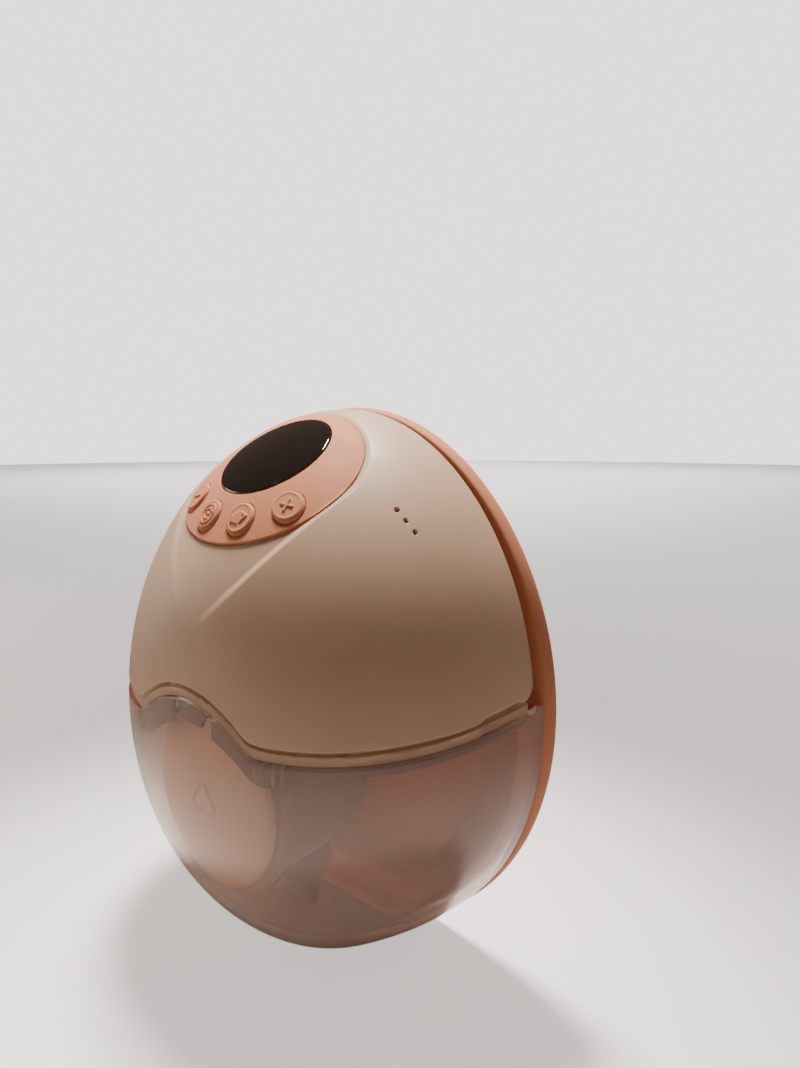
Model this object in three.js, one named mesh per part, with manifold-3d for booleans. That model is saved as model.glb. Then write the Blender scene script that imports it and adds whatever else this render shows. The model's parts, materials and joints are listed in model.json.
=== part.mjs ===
// A wearable, hands-free breast pump: an egg-shaped unit that stands on the flat foot of its clear
// milk cup. The upper half is the pump housing with its display and four keys, the lower half is the
// cup, and the soft flange that faces the wearer closes the back. Inside the cup a round linker
// carries the flange's tunnel, the suction diaphragm and the duckbill valve.
// Millimetres, +Z up, +Y towards the wearer, origin on the ground under the middle of the box.
import * as THREE from "three";
import { mergeVertices } from "three/addons/utils/BufferGeometryUtils.js";
import Module from "manifold-3d";

const wasm = await Module();
wasm.setup();

// ---------------------------------------------------------------- driving dimensions
const EGG_HALF_WIDTH = 55.9;
const EGG_HALF_HEIGHT = 63;
const EGG_MID_Z = 62;
const EGG_DEPTH = 48;
const EGG_TAPER = 0.028; // how much narrower the egg is at its top
const DOME_POWER = 0.76; // lower is blunter
const NOSE_Z = 54.6; // height of the foremost point
const NOSE_POWER = 1.75;
const RIM_Y = 21; // plane where dome and flange rim meet
const BACK_Y = 27; // rearmost point of the flange rim

const FOOT_SPREAD_X = 23.4; // how far the egg's underside is drawn down round the flat foot
const FOOT_SPREAD_Y = 28.4; // forward of the rim plane
const FOOT_DROP = 4.9;
const FOOT_ROUNDING = 0.5;
const RIM_CLEARANCE = 0.5; // the flange rim hangs this far above the ground

const CUP_WALL = 1.8;
const SHELL_WALL = 2;
const GAP = 0.3; // between pieces that touch
const SEAM_Z = 65.17; // height of the housing's lower edge at y = 0
const SEAM_SLOPE = 0.149; // the edge dips towards the nose
const ARCH_Z = 42; // the edge arches over the round linker
const ARCH_RADIUS = 27;
const SEAM_BLEND = 1.2; // softness of the corner where the straight edge turns into the arch
const LIP_HEIGHT = 3; // stepped lip under the housing's edge
const LIP_STEP = 0.4;
const COVER_WALL = 2;
const COVER_BACK_Y = 14.5;

const AXIS_Z = 43; // axis of tunnel and linker
const TUNNEL_RADIUS = 12;
const TUNNEL_WALL = 2;
const TUNNEL_FRONT_Y = -9;
const BOWL_FLOOR_Y = 10.5;
const BOWL_EDGE_Y = 25.5;
const BOWL_POWER = 1.25;
const DRUM_RADIUS = 20.3;
const DRUM_WALL = 1.8;
const DRUM_FRONT_Y = -18.6;
const DRUM_BACK_Y = -1;
const COLLAR_RADIUS = 19;
const COLLAR_BACK_Y = 7.4;
const VALVE_Y = 4; // axis of the milk port and its duckbill valve
const DRUM_FLANGE = 1.2; // the drum's front flange stands this far proud of its side
const DRUM_FLANGE_DEPTH = 2.5;
const SHELF_Y = DRUM_FRONT_Y + 7; // shelf inside the drum that the diaphragm rests on
const SHELF_WIDTH = 3;
const SHELF_THICKNESS = 1.2;
const MILK_PORT_RADIUS = 5;
const MILK_WAY_RADIUS = 3.8;
const MILK_PORT_FOOT_Z = 16.4;
const BOSS_RADIUS = 5; // boss round the air port on top of the drum
const BOSS_RISE = 0.9;
const DISC_DOME = 3.4; // how far the front disc bulges
const SLEEVE_RADIUS = 6.8; // the duckbill's sleeve over the milk port
const SLEEVE_BORE = 5.3;
const SLEEVE_FOOT_Z = 16;
const BILL_TIP_Z = 6.2;

// The control panel: its own frame, u to the right, v up the slope, n outwards.
const PANEL_CENTRE = new THREE.Vector3(0, -3.1, 110.7);
const PANEL_TILT = Math.atan2(0.65, 0.76); // slope of the panel's normal from vertical
const PANEL_HALF_WIDTH = 24;
const PANEL_HALF_LENGTH = 20.5;
const DISPLAY_V = 4;
const DISPLAY_HALF_WIDTH = 13.8;
const DISPLAY_HALF_LENGTH = 13;
const KEY_RADIUS = 3.6;
const KEY_RISE = 1;
const KEY_SINK = 1.3;
const KEY_STEM_RADIUS = 1.7;
const KEY_STEM_FOOT = -3.2; // lower end of a key's stem below the panel plane
const KEYS = [
  ["button_plus", 15.2, -9.5],
  ["button_level", 5.3, -14.6],
  ["button_mode", -5.3, -14.6],
  ["button_minus", -15.2, -9.5],
];
const BOARD_N = -6.2; // top of the control board below the panel plane
const BOARD_THICKNESS = 1.2;
const PAD_SINK = 0.1; // insets of the soft pad's two faces
const PAD_BACK = 2;
const CARRIER_MARGIN = 1.6; // the pad's carrier reaches this far past it
const MODULE_HALF_WIDTH = 8.8;
const MODULE_HALF_LENGTH = 7.8;
const SWITCH_HALF_WIDTH = 1.8;

const PUMP_Y = -7.3;
const PUMP_Z = 83;
const PUMP_RADIUS = 9;
const PORT_Y = -13.5; // air port between housing and linker
const PORT_RADIUS = 2.2;
const SCREWS = [
  [-38, 75],
  [38, 75],
  [-30, 104],
  [30, 104],
];

const RING_SIDES = 40;
const DOME_REACHES = [0, 0.13, 0.235, 0.315, 0.41, 0.52, 0.63, 0.75, 0.87, 0.97];
const FAR = 90; // beyond every surface of the object

// ---------------------------------------------------------------- colours
const CREAM = { color: 0xdcc5ae, roughness: 0.45, metalness: 0 };
const CREAM_PLASTIC = { color: 0xe2cfb8, roughness: 0.4, metalness: 0 };
const CLEAR = { color: 0xcdb9ae, roughness: 0.06, metalness: 0, transparent: true, opacity: 0.4 };
const PEACH = { color: 0xd08a68, roughness: 0.6, metalness: 0 };
const BLACK_GLASS = { color: 0x120d0c, roughness: 0.05, metalness: 0 };
const CLEAR_SILICONE = { color: 0xd9d2cb, roughness: 0.5, metalness: 0 };
const STEEL = { color: 0xb8babd, roughness: 0.3, metalness: 1 };
const BRASS = { color: 0xc7a252, roughness: 0.35, metalness: 1 };
const GREEN_BOARD = { color: 0x1f5a38, roughness: 0.5, metalness: 0 };
const BLACK_PLASTIC = { color: 0x1c1c1e, roughness: 0.5, metalness: 0 };
const BATTERY_WRAP = { color: 0x6f8fb0, roughness: 0.4, metalness: 0 };
const FOAM = { color: 0x3c3b3a, roughness: 0.95, metalness: 0 };

// ---------------------------------------------------------------- solids and meshes
const pump = new THREE.Group();

// A closed geometry as a manifold-3d solid.
function toSolid(geometry) {
  const bare = geometry.clone();
  bare.deleteAttribute("normal");
  bare.deleteAttribute("uv");
  const merged = mergeVertices(bare, 1e-4);
  const vertProperties = merged.attributes.position.array;
  const triVerts = new Uint32Array(merged.index.array);
  return new wasm.Manifold(new wasm.Mesh({ numProp: 3, vertProperties, triVerts }));
}

function toGeometry(solid) {
  const mesh = solid.getMesh();
  const position = new THREE.BufferAttribute(new Float32Array(mesh.vertProperties), 3);
  const geometry = new THREE.BufferGeometry().setAttribute("position", position);
  geometry.setIndex(new THREE.BufferAttribute(new Uint32Array(mesh.triVerts), 1));
  geometry.computeVertexNormals();
  return geometry;
}

// Adds a solid to the pump as a named mesh.
function addPart(name, solid, look) {
  const mesh = new THREE.Mesh(toGeometry(solid), new THREE.MeshStandardMaterial(look));
  mesh.name = name;
  pump.add(mesh);
}

function box(x0, x1, y0, y1, z0, z1) {
  const geometry = new THREE.BoxGeometry(x1 - x0, y1 - y0, z1 - z0);
  geometry.translate((x0 + x1) / 2, (y0 + y1) / 2, (z0 + z1) / 2);
  return toSolid(geometry);
}

// A cylinder from one point to another.
function rod(from, to, radius, sides = 16) {
  const axis = new THREE.Vector3().subVectors(to, from);
  const geometry = new THREE.CylinderGeometry(radius, radius, axis.length(), sides);
  const up = new THREE.Vector3(0, 1, 0);
  geometry.applyQuaternion(new THREE.Quaternion().setFromUnitVectors(up, axis.clone().normalize()));
  geometry.translate((from.x + to.x) / 2, (from.y + to.y) / 2, (from.z + to.z) / 2);
  return toSolid(geometry);
}

const at = (x, y, z) => new THREE.Vector3(x, y, z);

// A profile of [radius, y] points turned about the linker's axis, in either order.
function turned(profile, sides = 30) {
  const points = profile.map(([radius, y]) => new THREE.Vector2(radius, y));
  const solid = toSolid(new THREE.LatheGeometry(points, sides).translate(0, 0, AXIS_Z));
  if (solid.volume() > 0) return solid;
  return toSolid(new THREE.LatheGeometry(points.reverse(), sides).translate(0, 0, AXIS_Z));
}

// A soft tube along hand-placed points.
function tube(points, radius, steps, sides = 8) {
  const section = new THREE.Shape();
  for (let i = 0; i < sides; i++) {
    const angle = (2 * Math.PI * i) / sides;
    const spot = [radius * Math.cos(angle), radius * Math.sin(angle)];
    if (i) section.lineTo(...spot);
    else section.moveTo(...spot);
  }
  const extrudePath = new THREE.CatmullRomCurve3(points.map((p) => at(...p)));
  return toSolid(new THREE.ExtrudeGeometry(section, { steps, extrudePath, bevelEnabled: false }));
}

// Rings of equal size joined into one closed surface. Ends are closed with a point or a flat fan;
// a loop of rings joins its last ring to its first. Rings run from the back of the pump forwards.
function ringSolid(rings, loop = false) {
  const sides = rings[0].length;
  const corners = rings.flat();
  const faces = [];
  const last = loop ? rings.length : rings.length - 1;
  for (let r = 0; r < last; r++) {
    const next = (r + 1) % rings.length;
    for (let i = 0; i < sides; i++) {
      const j = (i + 1) % sides;
      const [a, b, c, d] = [r * sides + i, r * sides + j, next * sides + j, next * sides + i];
      faces.push(a, d, b, b, d, c);
    }
  }
  if (!loop) {
    for (const [ring, turn] of [[0, false], [rings.length - 1, true]]) {
      const middle = corners.length;
      const sum = rings[ring].reduce((total, p) => total.add(p), at(0, 0, 0));
      corners.push(sum.divideScalar(sides));
      for (let i = 0; i < sides; i++) {
        const [a, b] = [ring * sides + i, ring * sides + ((i + 1) % sides)];
        faces.push(...(turn ? [middle, b, a] : [middle, a, b]));
      }
    }
  }
  const positions = new Float32Array(corners.flatMap((p) => [p.x, p.y, p.z]));
  const geometry = new THREE.BufferGeometry();
  geometry.setAttribute("position", new THREE.BufferAttribute(positions, 3));
  geometry.setIndex(faces);
  const solid = toSolid(geometry);
  if (solid.volume() > 0) return solid;
  geometry.setIndex(faces.reverse());
  return toSolid(geometry);
}

// ---------------------------------------------------------------- the egg
const lerp = THREE.MathUtils.lerp;

// The larger of two heights, with the corner between them rounded.
function roundedMax(height, level, rounding) {
  if (height > level + rounding) return height;
  if (height < level - rounding) return level;
  return level + (height - level + rounding) ** 2 / (4 * rounding);
}

// Draws the egg's underside down round the foot, and flattens it at the ground.
function settle(x, y, z, inset) {
  if (z > EGG_MID_Z / 2) return z;
  const distance = Math.hypot(x / FOOT_SPREAD_X, (RIM_Y - y) / FOOT_SPREAD_Y);
  const drop = FOOT_DROP * Math.exp(-(distance ** 4));
  return roundedMax(z - drop, Math.max(inset, 0), FOOT_ROUNDING);
}

// A point of the egg, inset from its surface. turn goes round the egg from +X over the top, and
// reach goes from the rim plane at 0 to the nose at 1.
function eggPoint(turn, reach, inset) {
  const forward = Math.sin((reach * Math.PI) / 2);
  const size = Math.cos((reach * Math.PI) / 2) ** DOME_POWER;
  const mid = EGG_MID_Z + (NOSE_Z - EGG_MID_Z) * forward ** NOSE_POWER;
  const sway = 1 - EGG_TAPER * Math.sin(turn);
  const x = size * (EGG_HALF_WIDTH - inset) * Math.cos(turn) * sway;
  const y = RIM_Y - (EGG_DEPTH - inset) * forward;
  const z = mid + size * (EGG_HALF_HEIGHT - inset) * Math.sin(turn);
  return at(x, y, settle(x, y, z, inset));
}

const turns = Array.from({ length: RING_SIDES }, (_, i) => (2 * Math.PI * i) / RING_SIDES);

// The whole egg as a solid, carried straight back to backY.
function egg(inset, backY = RIM_Y) {
  const rings = [];
  if (backY > RIM_Y) rings.push(turns.map((turn) => eggPoint(turn, 0, inset).setY(backY)));
  for (const reach of DOME_REACHES) rings.push(turns.map((turn) => eggPoint(turn, reach, inset)));
  return ringSolid(rings);
}

// The skin between two insets.
const eggSkin = (outer, inner, backY = RIM_Y) => egg(outer, backY).subtract(egg(inner, backY + 1));

// ---------------------------------------------------------------- seams and cutters
// Height of the housing's lower edge over the ground plan.
function seamHeight(x, y) {
  const plane = SEAM_Z + SEAM_SLOPE * y;
  if (Math.abs(x) >= ARCH_RADIUS) return plane;
  const arch = ARCH_Z + Math.sqrt(ARCH_RADIUS ** 2 - x ** 2);
  return (plane + arch) / 2 + Math.hypot(plane - arch, SEAM_BLEND) / 2;
}

// Everything above (or below) the seam moved up by a rise.
function beyondSeam(rise, farZ) {
  const xs = [-FAR, -28, -22, -20, -19, -17.5, -14, -8, 0];
  const columns = [...xs, ...xs.slice(0, -1).reverse().map((x) => -x)];
  const rows = [-FAR / 2, -22, 0, FAR / 2];
  const top = rows.map((y) => columns.map((x) => at(x, y, seamHeight(x, y) + rise)));
  const loops = top.map((row) => [...row, at(FAR, row[0].y, farZ), at(-FAR, row[0].y, farZ)]);
  return ringSolid(loops.reverse());
}
const aboveSeam = (rise) => beyondSeam(rise, 2 * FAR);
const belowSeam = (rise) => beyondSeam(rise, -FAR);

// A prism along X of a side-view outline in y and z.
function sidePrism(outline, x0, x1) {
  const shape = new THREE.Shape(outline.map(([y, z]) => new THREE.Vector2(y, z)));
  const geometry = new THREE.ExtrudeGeometry(shape, { depth: x1 - x0, bevelEnabled: false });
  geometry.applyMatrix4(new THREE.Matrix4().makeBasis(at(0, 1, 0), at(0, 0, 1), at(1, 0, 0)));
  geometry.translate(x0, 0, 0);
  return toSolid(geometry);
}

// Everything in front of the housing's back edge, which leans away from the flange rim.
const HOUSING_TOP_Z = 125;
const EDGE_TOP_Y = 21.2;
const EDGE_LEAN = 0.06;
function beforeBackEdge() {
  const edgeY = (z) => EDGE_TOP_Y - EDGE_LEAN * (HOUSING_TOP_Z - z);
  return sidePrism([[-FAR, 0], [edgeY(0), 0], [edgeY(2 * FAR), 2 * FAR], [-FAR, 2 * FAR]], -FAR, FAR);
}

// ---------------------------------------------------------------- the panel's frame
const panelMatrix = new THREE.Matrix4()
  .makeRotationX(PANEL_TILT)
  .setPosition(PANEL_CENTRE);
const onPanel = (u, v, n) => at(u, v, n).applyMatrix4(panelMatrix);

// An oval or round prism standing on the panel plane.
function panelPrism(u, v, halfWidth, halfLength, n0, n1, sides = 28) {
  const geometry = new THREE.CylinderGeometry(1, 1, n1 - n0, sides);
  geometry.rotateX(Math.PI / 2);
  geometry.scale(halfWidth, halfLength, 1);
  geometry.translate(u, v, (n0 + n1) / 2);
  geometry.applyMatrix4(panelMatrix);
  return toSolid(geometry);
}

function panelBox(u0, u1, v0, v1, n0, n1) {
  const geometry = new THREE.BoxGeometry(u1 - u0, v1 - v0, n1 - n0);
  geometry.translate((u0 + u1) / 2, (v0 + v1) / 2, (n0 + n1) / 2);
  geometry.applyMatrix4(panelMatrix);
  return toSolid(geometry);
}

const PANEL_TOP = 12;
const PANEL_BOTTOM = -12;
const panelOval = (margin) =>
  panelPrism(0, 0, PANEL_HALF_WIDTH + margin, PANEL_HALF_LENGTH + margin, PANEL_BOTTOM, PANEL_TOP);
const displayOval = (margin) =>
  panelPrism(
    0,
    DISPLAY_V,
    DISPLAY_HALF_WIDTH + margin,
    DISPLAY_HALF_LENGTH + margin,
    PANEL_BOTTOM,
    PANEL_TOP,
  );
const keyHole = (u, v, radius) => panelPrism(u, v, radius, radius, PANEL_BOTTOM, PANEL_TOP, 16);

function withoutKeyHoles(solid, radius) {
  return KEYS.reduce((rest, [, u, v]) => rest.subtract(keyHole(u, v, radius)), solid);
}

// ---------------------------------------------------------------- flange
// A ring of the flange's bowl: share 0 is the tunnel and share 1 the rim outline.
function bowlRing(share, radius, inset, y) {
  return turns.map((turn) => {
    const rim = eggPoint(turn, 0, inset);
    const x = lerp(radius * Math.cos(turn), rim.x, share);
    const z = lerp(AXIS_Z + radius * Math.sin(turn), rim.z, share);
    return at(x, y, z);
  });
}
const bowlY = (share) => lerp(BOWL_FLOOR_Y, BOWL_EDGE_Y, share ** BOWL_POWER);
const BOWL_SHARES = [0.07, 0.2, 0.38, 0.58, 0.8];
const BOWL_INSET = 7;

// The rim's forward face follows the housing's back edge over the upper half.
const RIM_FACE_RISE = 1.3;
// The neck lies deeper behind the housing than inside the cup.
const NECK_SINK = 1.8;
const NECK_SINK_FROM_Z = 58;
const NECK_SINK_TO_Z = 70;
function rimRing(inset, y, sink) {
  return turns.map((turn) => {
    const height = eggPoint(turn, 0, inset).z;
    const deep = THREE.MathUtils.smoothstep(height, NECK_SINK_FROM_Z, NECK_SINK_TO_Z);
    const spot = eggPoint(turn, 0, inset + NECK_SINK * sink * deep);
    const upper = Math.max(0, (spot.z - EGG_MID_Z) / EGG_HALF_HEIGHT);
    const share = THREE.MathUtils.clamp((BACK_Y - y) / (BACK_Y - RIM_Y), 0, 1);
    const clear = Math.max(spot.z, roundedMax(spot.z, RIM_CLEARANCE, FOOT_ROUNDING));
    return at(spot.x, y + RIM_FACE_RISE * upper * share, clear);
  });
}

// Soft silicone flange: bowl, tunnel, rounded rim and a sealing skirt inside the cup's edge.
function flangeShield() {
  const outer = TUNNEL_RADIUS + TUNNEL_WALL;
  const rings = [];
  rings.push(bowlRing(0, TUNNEL_RADIUS, BOWL_INSET, TUNNEL_FRONT_Y));
  rings.push(bowlRing(0, TUNNEL_RADIUS, BOWL_INSET, BOWL_FLOOR_Y - 2));
  for (const share of BOWL_SHARES) {
    rings.push(bowlRing(share, TUNNEL_RADIUS, BOWL_INSET, bowlY(share)));
  }
  const rimSection = [
    [6, BACK_Y - 0.9, 0],
    [3.6, BACK_Y, 0],
    [1.4, BACK_Y - 0.1, 0],
    [0.1, BACK_Y - 1.1, 0],
    [-0.4, BACK_Y - 2.8, 0],
    [-0.3, BACK_Y - 4.6, 0],
    [0.2, RIM_Y, 0],
    [2.5, RIM_Y, 1],
    [2.8, RIM_Y - 4.6, 1],
    [3.3, RIM_Y - 5.5, 1],
    [4.1, RIM_Y - 5.2, 0.9],
    [4.5, RIM_Y - 0.6, 0.8],
  ];
  for (const [inset, y, sink] of rimSection) rings.push(rimRing(inset, y, sink));
  for (const share of [...BOWL_SHARES].reverse()) {
    rings.push(bowlRing(share, outer, BOWL_INSET - 1.2, bowlY(share) - TUNNEL_WALL));
  }
  rings.push(bowlRing(0, outer, BOWL_INSET, BOWL_FLOOR_Y - 2.6));
  rings.push(bowlRing(0, outer, BOWL_INSET, TUNNEL_FRONT_Y));
  return ringSolid(rings, true);
}

// The room the bowl takes behind the housing, grown by a clearance.
function bowlRoom(clearance) {
  const outer = TUNNEL_RADIUS + TUNNEL_WALL + clearance;
  const rings = [bowlRing(1, outer, BOWL_INSET - clearance, BOWL_EDGE_Y + 2)];
  for (const share of [1, ...[...BOWL_SHARES].reverse()]) {
    rings.push(bowlRing(share, outer, BOWL_INSET - 1.2 - clearance, bowlY(share) - TUNNEL_WALL - clearance));
  }
  rings.push(bowlRing(0, outer, 0, BOWL_FLOOR_Y - TUNNEL_WALL - clearance));
  return ringSolid(rings);
}

// ---------------------------------------------------------------- cup
function collectorCup() {
  const skin = eggSkin(0, CUP_WALL, RIM_Y - GAP);
  const behind = box(-FAR, FAR, RIM_Y - GAP, FAR, -FAR, 2 * FAR);
  return skin.intersect(belowSeam(-LIP_HEIGHT - GAP)).subtract(behind);
}

// ---------------------------------------------------------------- linker
function linkerBody() {
  const inner = DRUM_RADIUS - DRUM_WALL;
  const collarInner = COLLAR_RADIUS - DRUM_WALL;
  const seat = TUNNEL_RADIUS + TUNNEL_WALL + GAP;
  const flange = DRUM_RADIUS + DRUM_FLANGE;
  const body = turned([
    [flange, DRUM_FRONT_Y],
    [flange, DRUM_FRONT_Y + DRUM_FLANGE_DEPTH],
    [DRUM_RADIUS, DRUM_FRONT_Y + DRUM_FLANGE_DEPTH + 0.7],
    [DRUM_RADIUS, DRUM_BACK_Y],
    [COLLAR_RADIUS, DRUM_BACK_Y + 0.8],
    [COLLAR_RADIUS, COLLAR_BACK_Y],
    [seat, COLLAR_BACK_Y],
    [seat, COLLAR_BACK_Y - 1.5],
    [collarInner, COLLAR_BACK_Y - 1.5],
    [collarInner, DRUM_BACK_Y - 1.2],
    [inner, DRUM_BACK_Y - 1.8],
    [inner, SHELF_Y + SHELF_THICKNESS],
    [inner - SHELF_WIDTH, SHELF_Y + SHELF_THICKNESS],
    [inner - SHELF_WIDTH, SHELF_Y],
    [inner, SHELF_Y],
    [inner, DRUM_FRONT_Y],
    [flange, DRUM_FRONT_Y],
  ]);
  const portTop = AXIS_Z - collarInner - 1;
  const port = rod(at(0, VALVE_Y, MILK_PORT_FOOT_Z), at(0, VALVE_Y, portTop), MILK_PORT_RADIUS);
  const milkWay = rod(at(0, VALVE_Y, MILK_PORT_FOOT_Z - 1), at(0, VALVE_Y, portTop + 4), MILK_WAY_RADIUS);
  const bossTop = AXIS_Z + DRUM_RADIUS + BOSS_RISE;
  const boss = rod(at(0, PORT_Y, AXIS_Z + inner + 0.5), at(0, PORT_Y, bossTop), BOSS_RADIUS);
  const airWay = rod(at(0, PORT_Y, AXIS_Z + inner - 1), at(0, PORT_Y, bossTop + 1), PORT_RADIUS - 0.6);
  return body.add(port).add(boss).subtract(milkWay).subtract(airWay);
}

// Domed cap that closes the front of the linker.
function frontDisc() {
  const rim = DRUM_RADIUS - 0.6;
  const back = DRUM_FRONT_Y - GAP;
  return turned([
    [0, back - DISC_DOME],
    [rim * 0.35, back - DISC_DOME * 0.94],
    [rim * 0.7, back - DISC_DOME * 0.74],
    [rim * 0.92, back - DISC_DOME * 0.44],
    [rim, back - 0.6],
    [rim, back],
    [rim * 0.8, back],
    [rim * 0.6, back - 0.9],
    [0, back - 1.8],
  ]);
}

function discSealRing() {
  const ring = new THREE.TorusGeometry(DRUM_RADIUS - DRUM_WALL - 1, 0.65, 6, 24);
  ring.rotateX(Math.PI / 2);
  ring.translate(0, DRUM_FRONT_Y + 0.9, AXIS_Z);
  return toSolid(ring);
}

// Dished silicone diaphragm with a thick bead, set against the linker's inner shelf.
function suctionDiaphragm() {
  const rim = DRUM_RADIUS - DRUM_WALL - GAP;
  const shelfY = SHELF_Y - GAP;
  return turned([
    [0, shelfY + 2.2],
    [rim * 0.45, shelfY + 1.9],
    [rim * 0.72, shelfY + 0.6],
    [rim - 3.6, shelfY],
    [rim, shelfY],
    [rim, shelfY - 2.2],
    [rim - 2, shelfY - 2.2],
    [rim - 2.6, shelfY - 1],
    [rim * 0.66, shelfY - 0.6],
    [rim * 0.42, shelfY + 0.7],
    [0, shelfY + 1],
  ]);
}

// Duckbill valve: a sleeve over the milk port that flattens to a slit.
function duckbillValve() {
  const sides = 20;
  const ring = (halfX, halfY, z, power) =>
    Array.from({ length: sides }, (_, i) => {
      const angle = (2 * Math.PI * i) / sides;
      const round = (value) => Math.sign(value) * Math.abs(value) ** power;
      const [x, y] = [halfX * round(Math.cos(angle)), halfY * round(Math.sin(angle))];
      return at(x, VALVE_Y + y, z);
    });
  const outside = [
    ring(SLEEVE_RADIUS - 0.3, SLEEVE_RADIUS - 0.3, SLEEVE_FOOT_Z + 6.2, 1),
    ring(SLEEVE_RADIUS, SLEEVE_RADIUS, SLEEVE_FOOT_Z + 5.6, 1),
    ring(SLEEVE_RADIUS, SLEEVE_RADIUS, SLEEVE_FOOT_Z, 1),
    ring(6, 5, 13.8, 0.9),
    ring(4.6, 0.9, BILL_TIP_Z, 0.5),
  ];
  const inside = [
    ring(3.6, 0.25, BILL_TIP_Z - 1.2, 0.5),
    ring(4.6, 3.4, 14.2, 0.9),
    ring(SLEEVE_BORE, SLEEVE_BORE, SLEEVE_FOOT_Z, 1),
    ring(SLEEVE_BORE, SLEEVE_BORE, SLEEVE_FOOT_Z + 8, 1),
  ];
  return ringSolid(outside).subtract(ringSolid(inside));
}

function airPortGasket() {
  const low = AXIS_Z + DRUM_RADIUS + BOSS_RISE + GAP;
  const high = ARCH_Z + ARCH_RADIUS - LIP_HEIGHT - 0.1;
  const disc = rod(at(0, PORT_Y, low), at(0, PORT_Y, high), 3.4);
  return disc.subtract(rod(at(0, PORT_Y, low - 1), at(0, PORT_Y, high + 1), PORT_RADIUS - 0.2));
}

// ---------------------------------------------------------------- housing
const VENTS = [
  [33.4, 1.2, 104.8],
  [35.5, 1.5, 102.8],
  [37.5, 1.7, 100.7],
];
const VENT_AXIS = at(0.65, -0.46, 0.6);
const VENT_RADIUS = 0.7;
const SOCKET_Y = 7.3;
const SOCKET_Z = 84;
const SOCKET_HALF_WIDTH = 4.4;
const SOCKET_HALF_HEIGHT = 1.6;
const LATCH_HALF_WIDTH = 7;
const LATCH_DROP = 5.4;
const LATCH_OUTSIDE = 2.2; // insets of the tongue's two faces
const LATCH_INSIDE = 3.4;
const LATCH_BACK_Y = -10;
const SCREW_POST_RADIUS = 3.2;
const SCREW_HOLE_RADIUS = 1.4;
const SCREW_SHANK_RADIUS = 1.05;
const SCREW_HEAD_RADIUS = 2.4;
const SCREW_HEAD_HEIGHT = 1.1;
const SCREW_SINK = 1.2; // depth of the heads' recess in the back cover
const SLOT_HALF_LENGTH = 1.6; // of the screw heads' cross
const SLOT_HALF_WIDTH = 0.3;
const SEAL_OUTSIDE = 3.8; // insets of the base seal's two faces
const SEAL_INSIDE = 5;
const SEAL_DROP = 2.2;
const SEAL_BACK_Y = 8;

// The tongue that hangs from the housing inside the cup's front wall.
function latchTongue() {
  const hung = eggSkin(LATCH_OUTSIDE, LATCH_INSIDE).intersect(aboveSeam(-LIP_HEIGHT - LATCH_DROP));
  const root = eggSkin(SHELL_WALL / 2, LATCH_INSIDE).intersect(aboveSeam(-LIP_HEIGHT));
  const front = box(-LATCH_HALF_WIDTH, LATCH_HALF_WIDTH, -FAR, LATCH_BACK_Y, 0, FAR);
  return hung.add(root).intersect(belowSeam(1)).intersect(front);
}

const screwPost = (x, z, radius, y0, y1) => rod(at(x, y0, z), at(x, y1, z), radius, 16);

function hostFrontShell() {
  const upper = eggSkin(0, SHELL_WALL, BACK_Y).intersect(aboveSeam(0));
  const lip = eggSkin(LIP_STEP, SHELL_WALL, BACK_Y)
    .intersect(aboveSeam(-LIP_HEIGHT))
    .intersect(belowSeam(0.5));
  const posts = SCREWS.map(([x, z]) =>
    screwPost(x, z, SCREW_POST_RADIUS, -FAR, COVER_BACK_Y - COVER_WALL - GAP).intersect(egg(SHELL_WALL / 2)),
  );
  let shell = upper.add(lip).intersect(beforeBackEdge());
  shell = posts.reduce((whole, post) => whole.add(post), shell).add(latchTongue());
  shell = shell.subtract(panelOval(0));
  SCREWS.forEach(([x, z]) => {
    shell = shell.subtract(screwPost(x, z, SCREW_HOLE_RADIUS, 0, FAR));
  });
  VENTS.forEach((vent) => {
    const middle = at(...vent);
    const from = middle.clone().addScaledVector(VENT_AXIS, -5);
    shell = shell.subtract(rod(from, middle.addScaledVector(VENT_AXIS, 5), VENT_RADIUS, 8));
  });
  return shell.subtract(
    box(-FAR, -40, SOCKET_Y - SOCKET_HALF_WIDTH - GAP, SOCKET_Y + SOCKET_HALF_WIDTH + GAP,
      SOCKET_Z - SOCKET_HALF_HEIGHT - GAP, SOCKET_Z + SOCKET_HALF_HEIGHT + GAP),
  );
}

// Back and underside of the housing, hollowed over the linker and the flange's bowl.
function hostBackCover() {
  const floorRise = GAP + 0.1 - LIP_HEIGHT;
  const room = egg(SHELL_WALL + GAP)
    .intersect(aboveSeam(floorRise))
    .intersect(box(-FAR, FAR, -FAR, COVER_BACK_Y, 0, 2 * FAR))
    .subtract(bowlRoom(1));
  const hollow = aboveSeam(floorRise + COVER_WALL)
    .intersect(box(-FAR, FAR, -FAR, COVER_BACK_Y - COVER_WALL, 0, 2 * FAR))
    .subtract(bowlRoom(1 + COVER_WALL));
  let cover = room.subtract(hollow);
  SCREWS.forEach(([x, z]) => {
    cover = cover.subtract(screwPost(x, z, SCREW_HOLE_RADIUS, 0, FAR));
    cover = cover.subtract(screwPost(x, z, SCREW_HEAD_RADIUS + 0.5, COVER_BACK_Y - SCREW_SINK, FAR));
  });
  const latchWidth = LATCH_HALF_WIDTH + GAP;
  const latchRoom = box(-latchWidth, latchWidth, -FAR, LATCH_BACK_Y, 0, FAR);
  const latchSlot = eggSkin(0, LATCH_INSIDE + GAP).intersect(latchRoom);
  cover = cover.subtract(latchSlot);
  return cover.subtract(rod(at(0, PORT_Y, 60), at(0, PORT_Y, 72), PORT_RADIUS + GAP));
}

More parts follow.
